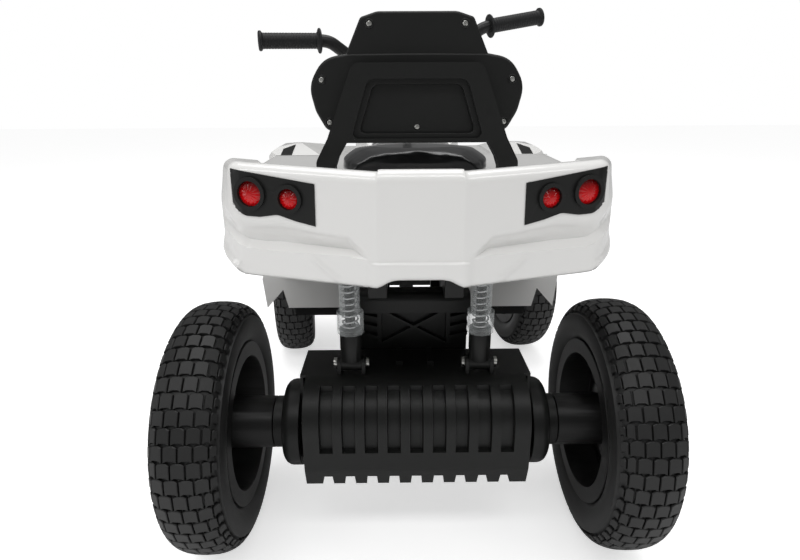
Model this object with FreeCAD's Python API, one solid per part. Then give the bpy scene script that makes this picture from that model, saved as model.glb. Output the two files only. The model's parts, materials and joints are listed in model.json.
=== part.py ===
import FreeCAD, Part
import math
import os

# Battery ride-on quad bike for a child. Millimetres, +X right, +Y forward, +Z up.
# The origin is on the ground, midway along the length and the width.

V = FreeCAD.Vector

# Fits
FIT = 0.05          # radial clearance of a shaft in its bore
SEAT = 0.2          # gap between a piece and what it sits on
LOOSE = 0.8         # radial clearance of an open linkage pivot

# Wheels
WHEELBASE = 650.0
REAR_TRACK = 558.0
FRONT_TRACK = 566.0
BUMPER_REACH = 200.0    # front axle to the front of the bumper
TYRE_R = 175.0
TYRE_W = 89.0
TYRE_WALL = 8.0
TREAD_HALF = 33.0       # half width of the flat of the tread
TREAD_DROP = 4.0        # crown to the edge of the flat
SHOULDER_DROP = 17.0    # crown to the top of the sidewall
BEAD_R = 100.0
FLANGE_R = 116.0
FLANGE_T = 5.0
RIM_HALF = 40.0
RIM_WALL = 5.0
WEB_OUT = 12.0          # wheel disc, outboard of the wheel's middle
WEB_T = 7.0
WINDOW_COUNT = 5
WINDOW_R = 18.0
AXLE_R = 7.0
REAR_HUB_R = 36.5
FRONT_HUB_R = 28.0
NUT_R = 12.0
NUT_H = 9.0
AXLE_STICK = 4.0        # axle end past its nut

# Rear axle housing and swing arm
HOUSING_HALF = 159.0
HOUSING_TOP = 260.0
HOUSING_BOTTOM = 127.0
HOUSING_FRONT = 66.0    # ahead of the axle
HOUSING_SPLIT = 20.0    # behind the axle, where the rear cover starts
HOUSING_WALL = 4.0
HOUSING_ROUND = 10.0
COVER_INSET = 9.0       # end of the cover, in from the end of the housing
COVER_DEPTH = 60.0      # behind the split
COVER_BOTTOM = 121.0
COVER_WALL = 9.0
COVER_SPREAD = 60.0     # radius of the top of the cover
GROOVE_COUNT = 9
GROOVE_MARGIN = 28.0    # middle of the last groove to the end of the cover
GROOVE_W = 16.0
GROOVE_DEPTH = 5.0
GROOVE_BOTTOM = 157.0
GROOVE_TOP = 240.0
TOOTH_SLOT_H = 8.0      # height of the slots between the bottom teeth
TOOTH_SLOT_W = 13.0
FOOT_RISE = 28.0        # bottom of the cover to the top of its toe
FOOT_ROUND = 20.0
FOOT_TOE = 18.0         # toe of the cover, ahead of its back
HOUSING_RIB_X = 22.0
HOUSING_RIB_W = 10.0
HOUSING_RIB_H = 7.0
HOUSING_RIB_REAR = 5.0  # ahead of the axle
HOUSING_RIB_INSET = 14.0
CAP_R = 61.0
CAP_LENGTH = 40.0
CAP_WALL = 4.0
BEARING_R = 16.0
BEARING_W = 9.0
SWING_PIVOT_AHEAD = 170.0
PANEL_HALF = 80.0
PANEL_TOP = 323.0
PANEL_T = 6.0
PANEL_RIB_DEPTH = 9.0
PANEL_RIB_RISE = 10.0   # foot of the ribs, above the housing
BRACE_X = 48.0          # ends of the crossed braces
BRACE_W = 8.0
EDGE_RIB_W = 6.0
FIN_COUNT = 3
FIN_START = 6.0
FIN_PITCH = 15.0
FIN_RISE = 8.0
FIN_W = 5.0
BEAM_HALF = 82.0
BEAM_TOP = 352.0
BEAM_DEPTH = 42.0
BEAM_ROUND = 11.0
ARM_GAP = 80.0          # between the two arm plates
ARM_T = 12.0
ARM_FOOT = 20.0         # foot of the arms, above the foot of the panel
PIVOT_BOSS_R = 14.0
PIVOT_R = 6.0
LUG_T = 6.0
LUG_ROUND = 8.0
BOLT_HEAD_T = 5.0
BOLT_HEAD_SHARE = 1.7   # head radius over shank radius

# Gear train
MODULE = 2.0
AXLE_TEETH = 36
IDLER_SMALL_TEETH = 14
IDLER_LARGE_TEETH = 30
PINION_TEETH = 14
BACKLASH = 0.5
GEAR_T = 12.0
GEAR_PLANE_GAP = 5.0
GEAR_START = 18.0       # first gear face, right of the middle
IDLER_ANGLE = 60.0      # from forward towards up, seen from the right
MOTOR_ANGLE = 180.0
IDLER_PIN_R = 4.0
MOTOR_R = 18.5
MOTOR_LENGTH = 62.0
MOTOR_SHAFT_R = 2.5

# Dampers
DAMPER_X = 88.0
DAMPER_BEHIND = 10.0    # behind the rear axle
DAMPER_PIN_Z = 274.0
DAMPER_PIN_R = 4.0
EYE_R = 11.0
EYE_HALF = 14.0
EAR_T = 5.0
EAR_DROP = 2.0          # top of an ear, below the top of its eye
EAR_ROUND = 6.0
TUBE_R = 15.0
TUBE_TOP = 326.0
TUBE_BORE_BOTTOM = 288.0
ROD_R = 7.0
ROD_GAP = 1.0           # round the rod in its tube
ROD_BOTTOM = 308.0
CUP_R = 18.0
CUP_TOP = 350.0
CUP_SKIRT = 6.0         # cup, down over the tube
GUARD_WALL = 1.2
SLEEVE_R = 13.8
SLEEVE_OVERLAP = 4.0
SPRING_SEAT_Z = 404.0
SPRING_SEAT_T = 4.0
SPRING_SEAT_R = 15.0
SPRING_R = 10.4
WIRE_D = 2.6
COILS = 10
DAMPER_TOP_Z = 426.0

# Frame
RAIL_X = 50.0
RAIL_W = 25.0
RAIL_Z = 372.0
RAIL_H = 28.0
TOWER_Z = 440.0
TOWER_H = 24.0
TOWER_DEPTH = 25.0
TOWER_HALF = 114.0
CROSS_AHEAD = 258.0     # cross tube, ahead of the rear axle
CROSS_DEPTH = 18.0
CROSS_HALF = 212.0
CROSS_H = 18.0
CROSS_ROUND = 6.0
BEAM_BOX = 30.0         # front axle beam, square
FRONT_POST_AHEAD = 15.0
SLEEVE_HALF = 25.0      # kingpin sleeve, half height
KINGPIN_R = 6.0
KINGPIN_SLEEVE_R = 13.0
KINGPIN_INSET = 40.0    # kingpin, inboard of the wheel's middle

# Steering
STEER_RAKE = 20.0
COLUMN_R = 9.0
COLUMN_FOOT_Z = 215.0
COLUMN_FOOT_BACK = 24.0     # behind the front axle
COLUMN_LENGTH = 473.0
BUSH_WALL = 4.0
BUSH_LENGTH = 16.0
HOLDER_WALL = 4.0
HOLDER_ARM_H = 12.0
HOLDER_ARM_W = 18.0
COLLAR_T = 5.0
UPPER_BUSH_S = 332.0        # along the column from its foot
LOWER_BUSH_S = -24.0
KNUCKLE_T = 6.5
KNUCKLE_HALF = 12.0
KNUCKLE_PLATE_IN = 15.0     # outboard plate, from the kingpin
KNUCKLE_PLATE_T = 9.0
ARM_LENGTH = 50.0
ARM_PIN_R = 4.0
ARM_PIN_STICK = 3.0
TIE_T = 5.0
TIE_HALF = 9.0
TIE_PAD_HALF = 16.0
CRANK = 25.6
CRANK_S = 20.0
CRANK_T = 6.0
CRANK_HALF = 8.0
CRANK_PIN_R = 3.5
CRANK_PIN_LENGTH = 21.0
SLOT_BACK = 5.5
SLOT_AHEAD = 9.0
SLOT_LAND = 4.0            # tie rod ahead of its slot
STEER_RATIO = 0.5
REST_BARS = 16.0            # bars stand turned to the left
BAR_R = 11.0
BAR_END = 271.0
BAR_RISE = 74.0
BAR_END_RISE = 84.0
BAR_KNEE = 150.0
BAR_FLAT = 62.0
BAR_BEND = 42.0
CLAMP_R = 18.0
CLAMP_HALF = 26.0
GRIP_R = 13.5
GRIP_LENGTH = 110.0
GRIP_END_R = 18.0
GRIP_FLANGE_R = 22.5
GRIP_FLANGE_T = 4.0
GRIP_GAP = 0.3          # bar to the bore of a grip

# Bodywork
SHELL_WALL = 4.0
TAIL_BEHIND = 150.0
TAIL_CORNER_X = 205.0
TAIL_CORNER_BEHIND = 104.0
TAIL_SIDE_X = 217.0
TAIL_CORNER_ROUND = 24.0
TAIL_SIDE_ROUND = 40.0
TAIL_TAB_X = 45.0
TAB_RUN = 14.0              # width of the step beside the middle panel
TAB_STEP = 4.0
TAB_ARCH_X = 30.0
TAB_ARCH_RISE = 9.0
TAB_ARCH_ROUND = 12.0
TAIL_TOP = 557.0
TAIL_BOTTOM = 432.0
SKIRT_RUN = 21.0            # start of the skirt's rise, inboard of the corner
SKIRT_RISE = 2.0
CORNER_RISE = 15.0
TAIL_SHELF = 70.0           # depth of the raised tail behind the seat
SHELF_RUN = 22.0            # slope from the raised tail down to the deck
SHELF_FALL = 3.0
SHELF_ROUND = 10.0
ARCH_RUN_1 = 60.0           # ahead of the rear axle, where the fender starts to fall
ARCH_FALL_1 = 12.0
ARCH_RUN_2 = 150.0
ARCH_FALL_2 = 52.0
ARCH_BEHIND = 40.0
CUT_OVER = 20.0             # how far a cutting shape runs past what it cuts
DECK_Z = 527.0
FENDER_FRONT_X = 226.0
FENDER_FRONT_Z = 312.0
ARCH_Z = 452.0
TUB_REAR = 250.0            # ahead of the rear axle
TUB_FRONT = 202.0           # behind the front axle
TUB_FLOOR = 253.0
TUB_HALF = 222.0
TUB_FLAP_X = 266.0
TUB_TOP = 372.0
TUB_WALL = 4.0
TUB_LIP = 22.0
FLAP_NOTCH_X = 230.0
FLAP_NOTCH_RISE = 35.0
FLAP_LEAN = 5.0
FLAP_RISE = 56.0
FLAP_BLEND = 60.0           # top of the flap's blend, above the tub
TUNNEL_HALF = 88.0
TUNNEL_TOP = 470.0
FRONT_SHELL_REAR = 202.0    # behind the front axle
FRONT_SHELL_FRONT = 150.0
FRONT_HALF = 303.0
FRONT_TOP = 520.0
NOSE_HALF = 90.0
NOSE_SHOULDER_X = 170.0
NOSE_SWEEP = 30.0
NOSE_ROUND = 30.0
NOSE_LIFT = 56.0            # front edge of the fenders, above their foot
FRONT_WIDE_AHEAD = 70.0     # ahead of the front axle
FRONT_WIDE_BEHIND = 110.0
FRONT_TAPER = 6.0
FRONT_REAR_STEP = 14.0
FRONT_ROUND = 60.0
FRONT_FALL_AHEAD = 60.0
FRONT_FALL = 16.0
FRONT_CREST_BEHIND = 70.0
FRONT_REAR_FALL = 40.0
SIDE_FALL = 50.0
SHOULDER_IN = 20.0
SHOULDER_FALL = 8.0
CREST_X = 236.0
VALLEY_X = 180.0
VALLEY_IN = 110.0
VALLEY_FALL = 22.0
CROWN_ROUND = 20.0
ARCH_R = 226.0
ARCH_IN = 150.0
HOOD_HALF = 98.0
HOOD_WAIST = 22.0
HOOD_WIDE_BEHIND = 120.0    # behind the front axle
HOOD_FLARE = 12.0
HOOD_TIP_IN = 8.0
HOOD_GAP = 6.0              # between the seat's nose and the hood
HOOD_LIFT = 6.0             # rear edge of the hood, above the tunnel
HOOD_TOP = 575.0
HOOD_REAR_FALL = 40.0
HOOD_RISE_RUN = 80.0
HOOD_RISE_FALL = 6.0
HOOD_FLAT_RUN = 138.0       # rear of the hood to its flat
HOOD_FLAT_FRONT = 58.0
HOOD_SLOPE_AHEAD = 40.0
HOOD_SLOPE_FALL = 52.0
HOOD_TIP_BACK = 6.0
HOOD_TIP_RISE = 74.0
HOOD_ROUND = 20.0
HOOD_CROWN_ROUND = 40.0
COLUMN_WAY = 14.0           # room round the column through the bodywork
COLUMN_WAY_START = 200.0
COLUMN_WAY_END = 60.0

# Seat and backrest
SADDLE_REAR = 20.0          # behind the rear axle
SADDLE_LENGTH = 336.0
SADDLE_HALF = 100.0
SADDLE_NOSE_HALF = 72.0
SADDLE_T = 33.0             # foot to crown
SADDLE_EDGE = 8.0           # crown to the top of the sides
SIDE_BULGE = 0.4            # bulge of a cushion's side over its height
SIDE_TUCK = 0.1
BACK_BEHIND = 45.0          # rear face of the bracket, behind the rear axle
BRACKET_T = 22.0
BRACKET_H = 133.0           # above the deck
BRACKET_TOP_HALF = 73.0
BRACKET_WAIST_HALF = 104.0
BRACKET_WAIST_RISE = 51.0
BRACKET_FOOT_HALF = 118.0
BRACKET_FOOT_RISE = 25.0
BRACKET_LEG_W = 22.0
BRACKET_LEG_RISE = 17.0
BRACKET_ARCH_HALF = 82.0
BRACKET_ARCH_RISE = 46.0
BRACKET_KNEE_X = 92.0
BRACKET_KNEE_RISE = 29.0
BRACKET_ROUND = 12.0
RECESS_DEPTH = 12.0
RECESS_LIFT = 5.0           # foot of the recess, above the plate's lower edge
RECESS_FOOT_HALF = 76.0
RECESS_TOP_HALF = 56.0
RECESS_TOP_DROP = 17.0
SHELL_T = 12.0
SHELL_RISE = 58.0           # foot of the shell, above the deck
SHELL_FOOT_HALF = 98.0
WING_H = 86.0               # foot of the shell to its shoulder
WING_HALF = 128.0
WING_MID = 0.62             # widest place, as a share of the wing's height
WING_LOW_IN = 11.0
WING_LOW_RISE = 24.0
WING_TOP_IN = 18.0
WING_ROUND = 24.0
HEAD_H = 49.0               # shoulder to the top of the headrest
HEAD_FOOT_HALF = 84.0
HEAD_HALF = 72.0
HEAD_TOP_HALF = 48.0
HEAD_CORNER = 12.0
PAD_T = 34.0
PAD_INSET = 12.0            # edge of the pad, in from the edge of the shell
SCREW_INSET = 15.0          # screws, in from the edge of the shell
SCREW_GRIP = 10.0           # length in the shell
PLATE_SCREW_RISE = 17.0     # above the plate's lower edge
SCREW_R = 2.0
SCREW_HEAD_R = 4.0
SCREW_HEAD_T = 1.6

# Lamps, dash and small fittings
LENS_BIG_R = 13.5
LENS_SMALL_R = 11.0
LENS_BIG_X = 181.0
LENS_BIG_DROP = 30.0        # below the top of the tail
LENS_SMALL_X = 138.0
LENS_SMALL_DROP = 34.0
LAMP_SHAPE = ((203.0, 4.0), (109.0, 17.0), (110.0, 62.0), (132.0, 57.5, 20.0), (152.0, 51.5, 14.0),
              (172.0, 55.0, 14.0), (190.0, 54.5, 14.0), (205.0, 43.0, 8.0))   # x, drop and round
LENS_DEPTH = 8.0
LENS_DOME = 4.0
BEZEL_W = 4.5
BEZEL_OUT = 3.0
LAMP_DEPTH = 22.0
LAMP_PROUD = 1.0
DASH_HALF = 45.0
DASH_LENGTH = 60.0
DASH_T = 4.0
DASH_BEHIND = 128.0         # rear edge, behind the front axle
DASH_LIP = 6.0
DASH_ROUND = 8.0
BUTTON_R = 8.0
BUTTON_OUT = 5.0
BUTTON_TRAVEL = 3.0
ROCKER_W = 14.0
ROCKER_L = 20.0
ROCKER_GAP = 0.4
ROCKER_DEPTH = 4.0          # below its pin
ROCKER_RISE = 6.0
ROCKER_DIP = 2.0
ROCKER_PIN_R = 1.2
ROCKER_PIN_STICK = 2.0
SOCKET_R = 8.0
SOCKET_FLANGE_R = 13.0
SOCKET_FLANGE_T = 3.0
SOCKET_BODY = 16.0
SOCKET_AHEAD = 60.0         # ahead of the tub's rear wall
SOCKET_DROP = 60.0          # below the tunnel's top
SOCKET_BORE_R = 2.8
SOCKET_BORE_DEPTH = 10.0
BATTERY_L = 150.0
BATTERY_W = 122.0
BATTERY_H = 95.0
BATTERY_AHEAD = 60.0
TERMINAL = 10.0
TERMINAL_H = 6.0
TERMINAL_INSET = 8.0
PEDAL_X = 152.0
PEDAL_W = 66.0
PEDAL_LENGTH = 72.0
PEDAL_T = 6.0
PEDAL_SLOPE = 25.0
PEDAL_PIN_R = 3.0
PEDAL_BARREL_R = 6.0
PEDAL_AHEAD = 96.0          # pin, ahead of the tub's rear wall
PEDAL_LIFT = 5.0            # barrel, above the floor
PEDAL_RIBS = 5
PEDAL_RIB_START = 14.0
PEDAL_RIB_PITCH = 12.0
PEDAL_RIB_W = 4.0
PEDAL_RIB_H = 2.0
PEDAL_RIB_INSET = 6.0
BUMPER_R = 11.0
BUMPER_BEND = 30.0
STAY_R = 10.0
BUMPER_HALF = 120.0
BUMPER_LOW = 285.0
BUMPER_HIGH = 385.0
GRILLE_LOW_HALF = 56.0
GRILLE_HIGH_HALF = 62.0
GRILLE_RISE = 4.0
GRILLE_H = 46.0
GRILLE_T = 6.0
GRILLE_SLOTS = 3
GRILLE_SLOT_HALF = 46.0
GRILLE_SLOT_H = 7.0
GRILLE_SLOT_PITCH = 12.0
GRILLE_SLOT_RISE = 8.0
GRILLE_SLOT_DEPTH = 4.0
HEADLAMP_T = 3.0
HEADLAMP_SHAPE = ((106.0, 24.0, 8.0), (206.0, 34.0, 12.0), (232.0, 62.0, 10.0),
                  (118.0, 52.0, 8.0))   # x, rise and round
HEADLAMP_AHEAD = 60.0

# Worked out
LENGTH = TYRE_R + WHEELBASE + BUMPER_REACH
REAR_Y = TYRE_R - LENGTH / 2
FRONT_Y = REAR_Y + WHEELBASE
AXLE_Z = TYRE_R
KINGPIN_X = FRONT_TRACK / 2 - KINGPIN_INSET
REST_WHEELS = REST_BARS * STEER_RATIO
PIVOT_Y = REAR_Y + SWING_PIVOT_AHEAD
PIVOT_Z = DAMPER_PIN_Z
DAMPER_Y = REAR_Y - DAMPER_BEHIND
RAIL_TOP = RAIL_Z + RAIL_H
COVER_HALF = HOUSING_HALF - COVER_INSET
GROOVE_PITCH = 2 * (COVER_HALF - GROOVE_MARGIN) / (GROOVE_COUNT - 1)
HOOD_REAR = SADDLE_LENGTH - SADDLE_REAR + HOOD_GAP
TUNNEL_DECK = HOOD_REAR - TUB_WALL - TUB_REAR
FRONT_BOTTOM = TUB_TOP + SEAT
SHELL_BOTTOM = DECK_Z + SHELL_RISE
SHELL_SHOULDER = SHELL_BOTTOM + WING_H
SHELL_TOP = SHELL_SHOULDER + HEAD_H
CROSS_Z = TUB_FLOOR - SEAT - CROSS_H
RAIL_IN = RAIL_X - RAIL_W / 2
RAIL_OUT = RAIL_X + RAIL_W / 2
RAKE = math.radians(STEER_RAKE)
COLUMN_FOOT = V(0, FRONT_Y - COLUMN_FOOT_BACK, COLUMN_FOOT_Z)
COLUMN_DIR = V(0, -math.sin(RAKE), math.cos(RAKE))
COLUMN_BACK = V(0, -math.cos(RAKE), -math.sin(RAKE))
X_AXIS = V(1, 0, 0)
Z_AXIS = V(0, 0, 1)


def box(x0, x1, y0, y1, z0, z1):
    """A box between two corners."""
    return Part.makeBox(x1 - x0, y1 - y0, z1 - z0, V(x0, y0, z0))


def rod(start, end, radius):
    """A round bar between two points."""
    run = end - start
    return Part.makeCylinder(radius, run.Length, start, run)


def rod_x(x0, x1, y, z, radius):
    """A round bar along X."""
    return rod(V(min(x0, x1), y, z), V(max(x0, x1), y, z), radius)


def ring_x(x0, x1, y, z, outer, inner):
    """A ring along X."""
    return rod_x(x0, x1, y, z, outer).cut(rod_x(x0, x1, y, z, inner))


def fuse(*shapes):
    """Several solids as one."""
    joined = shapes[0].fuse(list(shapes[1:]))
    return joined.removeSplitter()


def outline(points, place):
    """A closed wire through corners (a, b) or rounded corners (a, b, radius)."""
    flat = [V(p[0], p[1], 0) for p in points]
    count = len(points)
    cuts = []
    for i, point in enumerate(points):
        corner = flat[i]
        back = flat[i - 1] - corner
        ahead = flat[(i + 1) % count] - corner
        back.normalize()
        ahead.normalize()
        if len(point) < 3:
            cuts.append((corner, corner, corner))
            continue
        half = math.acos(max(-1.0, min(1.0, back.dot(ahead)))) / 2
        reach = point[2] / math.tan(half)
        middle = back + ahead
        middle.normalize()
        arc_mid = corner + middle * (point[2] / math.sin(half) - point[2])
        cuts.append((corner + back * reach, arc_mid, corner + ahead * reach))
    edges = []
    for i, (start, mid, end) in enumerate(cuts):
        if (end - start).Length > 1e-6:
            edges.append(Part.Arc(place(start), place(mid), place(end)).toShape())
        following = cuts[(i + 1) % count][0]
        if (following - end).Length > 1e-6:
            edges.append(Part.LineSegment(place(end), place(following)).toShape())
    return Part.Wire(edges)


def prism_x(points, x0, x1):
    """A (y, z) outline drawn out along X."""
    wire = outline(points, lambda p: V(x0, p.x, p.y))
    return Part.Face(wire).extrude(V(x1 - x0, 0, 0))


def prism_y(points, y0, y1):
    """An (x, z) outline drawn out along Y."""
    wire = outline(points, lambda p: V(p.x, y0, p.y))
    return Part.Face(wire).extrude(V(0, y1 - y0, 0))


def prism_z(points, z0, z1, inset=0.0):
    """An (x, y) outline, drawn in by an inset, drawn out along Z."""
    wire = outline(points, lambda p: V(p.x, p.y, z0))
    if inset:
        wire = wire.makeOffset2D(-inset)
    return Part.Face(wire).extrude(V(0, 0, z1 - z0))


def both_sides(half):
    """A whole outline from the points of its +X half, in order."""
    other = [(-p[0],) + tuple(p[1:]) for p in reversed(half)]
    return list(half) + other


def behind(distance):
    """Y of a place behind the rear axle."""
    return REAR_Y - distance


def ahead(distance):
    """Y of a place ahead of the rear axle."""
    return REAR_Y + distance


def along_column(distance):
    """A point on the steering axis."""
    return COLUMN_FOOT + COLUMN_DIR * distance


# Wheels

def tyre(x_mid, y):
    """A hollow tyre, open at its beads."""
    bead_x = RIM_HALF - FLANGE_T - SEAT
    bead_r = BEAD_R + SEAT
    half = TYRE_W / 2
    side_r = (FLANGE_R + TYRE_R - SHOULDER_DROP) / 2
    edge_x = half - TYRE_WALL / 2
    shoulder = V(edge_x, 0, TYRE_R - SHOULDER_DROP)
    tread = V(TREAD_HALF, 0, TYRE_R - TREAD_DROP)
    bend = (shoulder + tread) * 0.5 + V(0.35, 0, 0.25) * TREAD_DROP * 2
    inner_crown = TYRE_R - TYRE_WALL - TREAD_DROP / 2

    def at(x, r):
        return V(x_mid + x, y, AXLE_Z + r)

    def arc(a, b, c):
        return Part.Arc(at(*a), at(*b), at(*c)).toShape()

    def line(a, b):
        return Part.LineSegment(at(*a), at(*b)).toShape()

    edges = []
    for side in (1, -1):
        foot = (side * bead_x, bead_r)
        top = (side * bead_x, FLANGE_R)
        inner_foot = (side * (bead_x - TYRE_WALL), bead_r)
        inner_top = (side * (bead_x - TYRE_WALL), FLANGE_R)
        inner_edge = (side * (edge_x - TYRE_WALL), TYRE_R - SHOULDER_DROP - TREAD_DROP / 2)
        edges.append(line(foot, top))
        edges.append(arc(top, (side * half, side_r), (side * shoulder.x, shoulder.z)))
        edges.append(arc((side * shoulder.x, shoulder.z), (side * bend.x, bend.z), (side * tread.x, tread.z)))
        edges.append(line(foot, inner_foot))
        edges.append(line(inner_foot, inner_top))
        edges.append(arc(inner_top, (side * (half - TYRE_WALL), side_r), inner_edge))
    edges.append(arc((TREAD_HALF, TYRE_R - TREAD_DROP), (0, TYRE_R), (-TREAD_HALF, TYRE_R - TREAD_DROP)))
    inner_z = TYRE_R - SHOULDER_DROP - TREAD_DROP / 2
    inner_x = edge_x - TYRE_WALL
    edges.append(arc((inner_x, inner_z), (0, inner_crown), (-inner_x, inner_z)))
    section = Part.Face(Part.Wire(Part.__sortEdges__(edges)))
    return section.revolve(V(x_mid, y, AXLE_Z), X_AXIS, 360)


def rim(x_mid, y, out, hub_start, hub_r):
    """A dished rim whose hub starts at hub_start, with round windows in its disc."""
    barrel_in = BEAD_R - RIM_WALL
    barrel = ring_x(x_mid - RIM_HALF, x_mid + RIM_HALF, y, AXLE_Z, BEAD_R, barrel_in)
    flanges = []
    for side in (-1, 1):
        start = x_mid + side * (RIM_HALF - FLANGE_T)
        flanges.append(ring_x(start, x_mid + side * RIM_HALF, y, AXLE_Z, FLANGE_R, barrel_in))
    web_start = x_mid + out * (WEB_OUT - WEB_T / 2)
    web_end = x_mid + out * (WEB_OUT + WEB_T / 2)
    web = rod_x(web_start, web_end, y, AXLE_Z, BEAD_R - RIM_WALL / 2)
    hub = rod_x(hub_start, web_end, y, AXLE_Z, hub_r)
    bore = rod_x(hub_start - out, web_end + out, y, AXLE_Z, AXLE_R + FIT)
    windows = []
    window_at = (hub_r + barrel_in) / 2
    for i in range(WINDOW_COUNT):
        angle = 2 * math.pi * i / WINDOW_COUNT
        wy = y + window_at * math.cos(angle)
        wz = AXLE_Z + window_at * math.sin(angle)
        windows.append(rod_x(web_start - out, web_end + out, wy, wz, WINDOW_R))
    return fuse(barrel, *flanges, web, hub).cut([bore] + windows)


def hex_nut(x0, x1, y):
    """A six-sided wheel nut along X."""
    corners = []
    for i in range(6):
        angle = math.pi * i / 3
        corners.append((y + NUT_R * math.cos(angle), AXLE_Z + NUT_R * math.sin(angle)))
    return prism_x(corners, x0, x1).cut(rod_x(x0, x1, y, AXLE_Z, AXLE_R + FIT))


def rear_wheels():
    """Rear axle with its wheels, nuts and hubs."""
    nodes = {}
    nut_in = REAR_TRACK / 2 + WEB_OUT + WEB_T / 2 + SEAT
    nut_out = nut_in + NUT_H
    end = nut_out + AXLE_STICK
    nodes["rear_axle"] = rod_x(-end, end, REAR_Y, AXLE_Z, AXLE_R)
    hub_start = HOUSING_HALF + SEAT + CAP_LENGTH + LOOSE
    nuts = []
    for name, side in (("left", -1), ("right", 1)):
        x_mid = side * REAR_TRACK / 2
        nodes["rear_tyre_" + name] = tyre(x_mid, REAR_Y)
        nodes["rear_rim_" + name] = rim(x_mid, REAR_Y, side, side * hub_start, REAR_HUB_R)
        nuts.append(hex_nut(side * nut_in, side * nut_out, REAR_Y))
    nodes["rear_wheel_nuts"] = Part.makeCompound(nuts)
    return nodes


# Gears

def gear(teeth, y, z, x0, x1, phase):
    """A spur gear with stub teeth, one tooth centred on the phase angle."""
    pitch_r = MODULE * teeth / 2
    pressure = math.radians(20)
    base_r = pitch_r * math.cos(pressure)
    root_r = pitch_r - 1.1 * MODULE
    tip_r = pitch_r + 0.8 * MODULE
    half_pitch = math.pi / (2 * teeth) - BACKLASH / (4 * pitch_r)

    def half_angle(radius):
        if radius <= base_r:
            return half_pitch + math.tan(pressure) - pressure
        turn = math.acos(base_r / radius)
        return half_pitch + math.tan(pressure) - pressure - (math.tan(turn) - turn)

    radii = [root_r, max(base_r, root_r + 0.2 * MODULE), pitch_r, tip_r]
    corners = []
    for i in range(teeth):
        middle = phase + 2 * math.pi * i / teeth
        flank = [(r, middle - half_angle(r)) for r in radii]
        flank += [(r, middle + half_angle(r)) for r in reversed(radii)]
        corners += [(y + r * math.cos(a), z + r * math.sin(a)) for r, a in flank]
    return prism_x(corners, x0, x1)


def gear_places():
    """Centres of the idler and of the motor shaft, as (y, z)."""
    first = MODULE * (AXLE_TEETH + IDLER_SMALL_TEETH) / 2
    second = MODULE * (IDLER_LARGE_TEETH + PINION_TEETH) / 2
    turn = math.radians(IDLER_ANGLE)
    idler = (REAR_Y + first * math.cos(turn), AXLE_Z + first * math.sin(turn))
    turn = math.radians(MOTOR_ANGLE)
    motor = (idler[0] + second * math.cos(turn), idler[1] + second * math.sin(turn))
    return idler, motor


def drive_train():
    """Axle gear, idler gear, motor pinion and motor."""
    idler, motor = gear_places()
    first = math.radians(IDLER_ANGLE)
    second = math.radians(MOTOR_ANGLE)
    x0 = GEAR_START
    x1 = x0 + GEAR_T
    x2 = x1 + GEAR_PLANE_GAP
    x3 = x2 + GEAR_T
    nodes = {}
    axle_gear = gear(AXLE_TEETH, REAR_Y, AXLE_Z, x0, x1, first)
    nodes["drive_gear"] = axle_gear.cut(rod_x(x0, x1, REAR_Y, AXLE_Z, AXLE_R + FIT))
    small_phase = first + math.pi + math.pi / IDLER_SMALL_TEETH
    small = gear(IDLER_SMALL_TEETH, idler[0], idler[1], x0, x2, small_phase)
    large = gear(IDLER_LARGE_TEETH, idler[0], idler[1], x2, x3, second)
    bore = rod_x(x0, x3, idler[0], idler[1], IDLER_PIN_R + FIT)
    nodes["idler_gear"] = fuse(small, large).cut(bore)
    pinion_phase = second + math.pi + math.pi / PINION_TEETH
    pinion = gear(PINION_TEETH, motor[0], motor[1], x2, x3, pinion_phase)
    wall = x3 + GEAR_PLANE_GAP
    motor_x = wall + HOUSING_WALL + SEAT
    shaft_end = motor_x + MOTOR_LENGTH / 2
    shaft = rod_x(x2, shaft_end, motor[0], motor[1], MOTOR_SHAFT_R)
    nodes["motor_pinion"] = fuse(pinion, shaft)
    case = rod_x(motor_x, motor_x + MOTOR_LENGTH, motor[0], motor[1], MOTOR_R)
    hollow = rod_x(motor_x, shaft_end + SEAT, motor[0], motor[1], MOTOR_SHAFT_R + FIT)
    nodes["drive_motor"] = case.cut(hollow)
    return nodes


def axle_housing():
    """Main casing of the rear axle, with gear walls and damper ears."""
    front = ahead(HOUSING_FRONT)
    split = behind(HOUSING_SPLIT)
    low, high = HOUSING_BOTTOM, HOUSING_TOP
    wall = HOUSING_WALL
    half = HOUSING_HALF
    turn = HOUSING_ROUND
    outer = prism_x([(split, low), (front, low, turn), (front, high, turn), (split, high)], -half, half)
    in_low, in_high, in_front = low + wall, high - wall, front - wall
    inner = prism_x([(split, in_low), (in_front, in_low, turn - wall), (in_front, in_high, turn - wall),
                     (split, in_high)], -half + wall, half - wall)
    walls, holes, pin = gear_walls(in_front, split, in_low, in_high)
    bosses = []
    for side in (-1, 1):
        boss_in = side * (half - BEARING_W)
        bosses.append(rod_x(boss_in, side * half, REAR_Y, AXLE_Z, BEARING_R + wall))
        holes.append(rod_x(boss_in - side, side * (half + 1), REAR_Y, AXLE_Z, BEARING_R + FIT))
    ears, ear_holes = damper_ears()
    ribs = []
    rib_y0, rib_y1 = ahead(HOUSING_RIB_REAR), ahead(HOUSING_FRONT - HOUSING_RIB_INSET)
    rib = HOUSING_RIB_W / 2
    for x in (-HOUSING_RIB_X, HOUSING_RIB_X):
        ribs.append(box(x - rib, x + rib, rib_y0, rib_y1, high, high + HOUSING_RIB_H))
    body = fuse(outer.cut(inner), *walls, *bosses, *ears, *ribs).cut(holes + ear_holes)
    return body.fuse(pin).removeSplitter()


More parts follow.
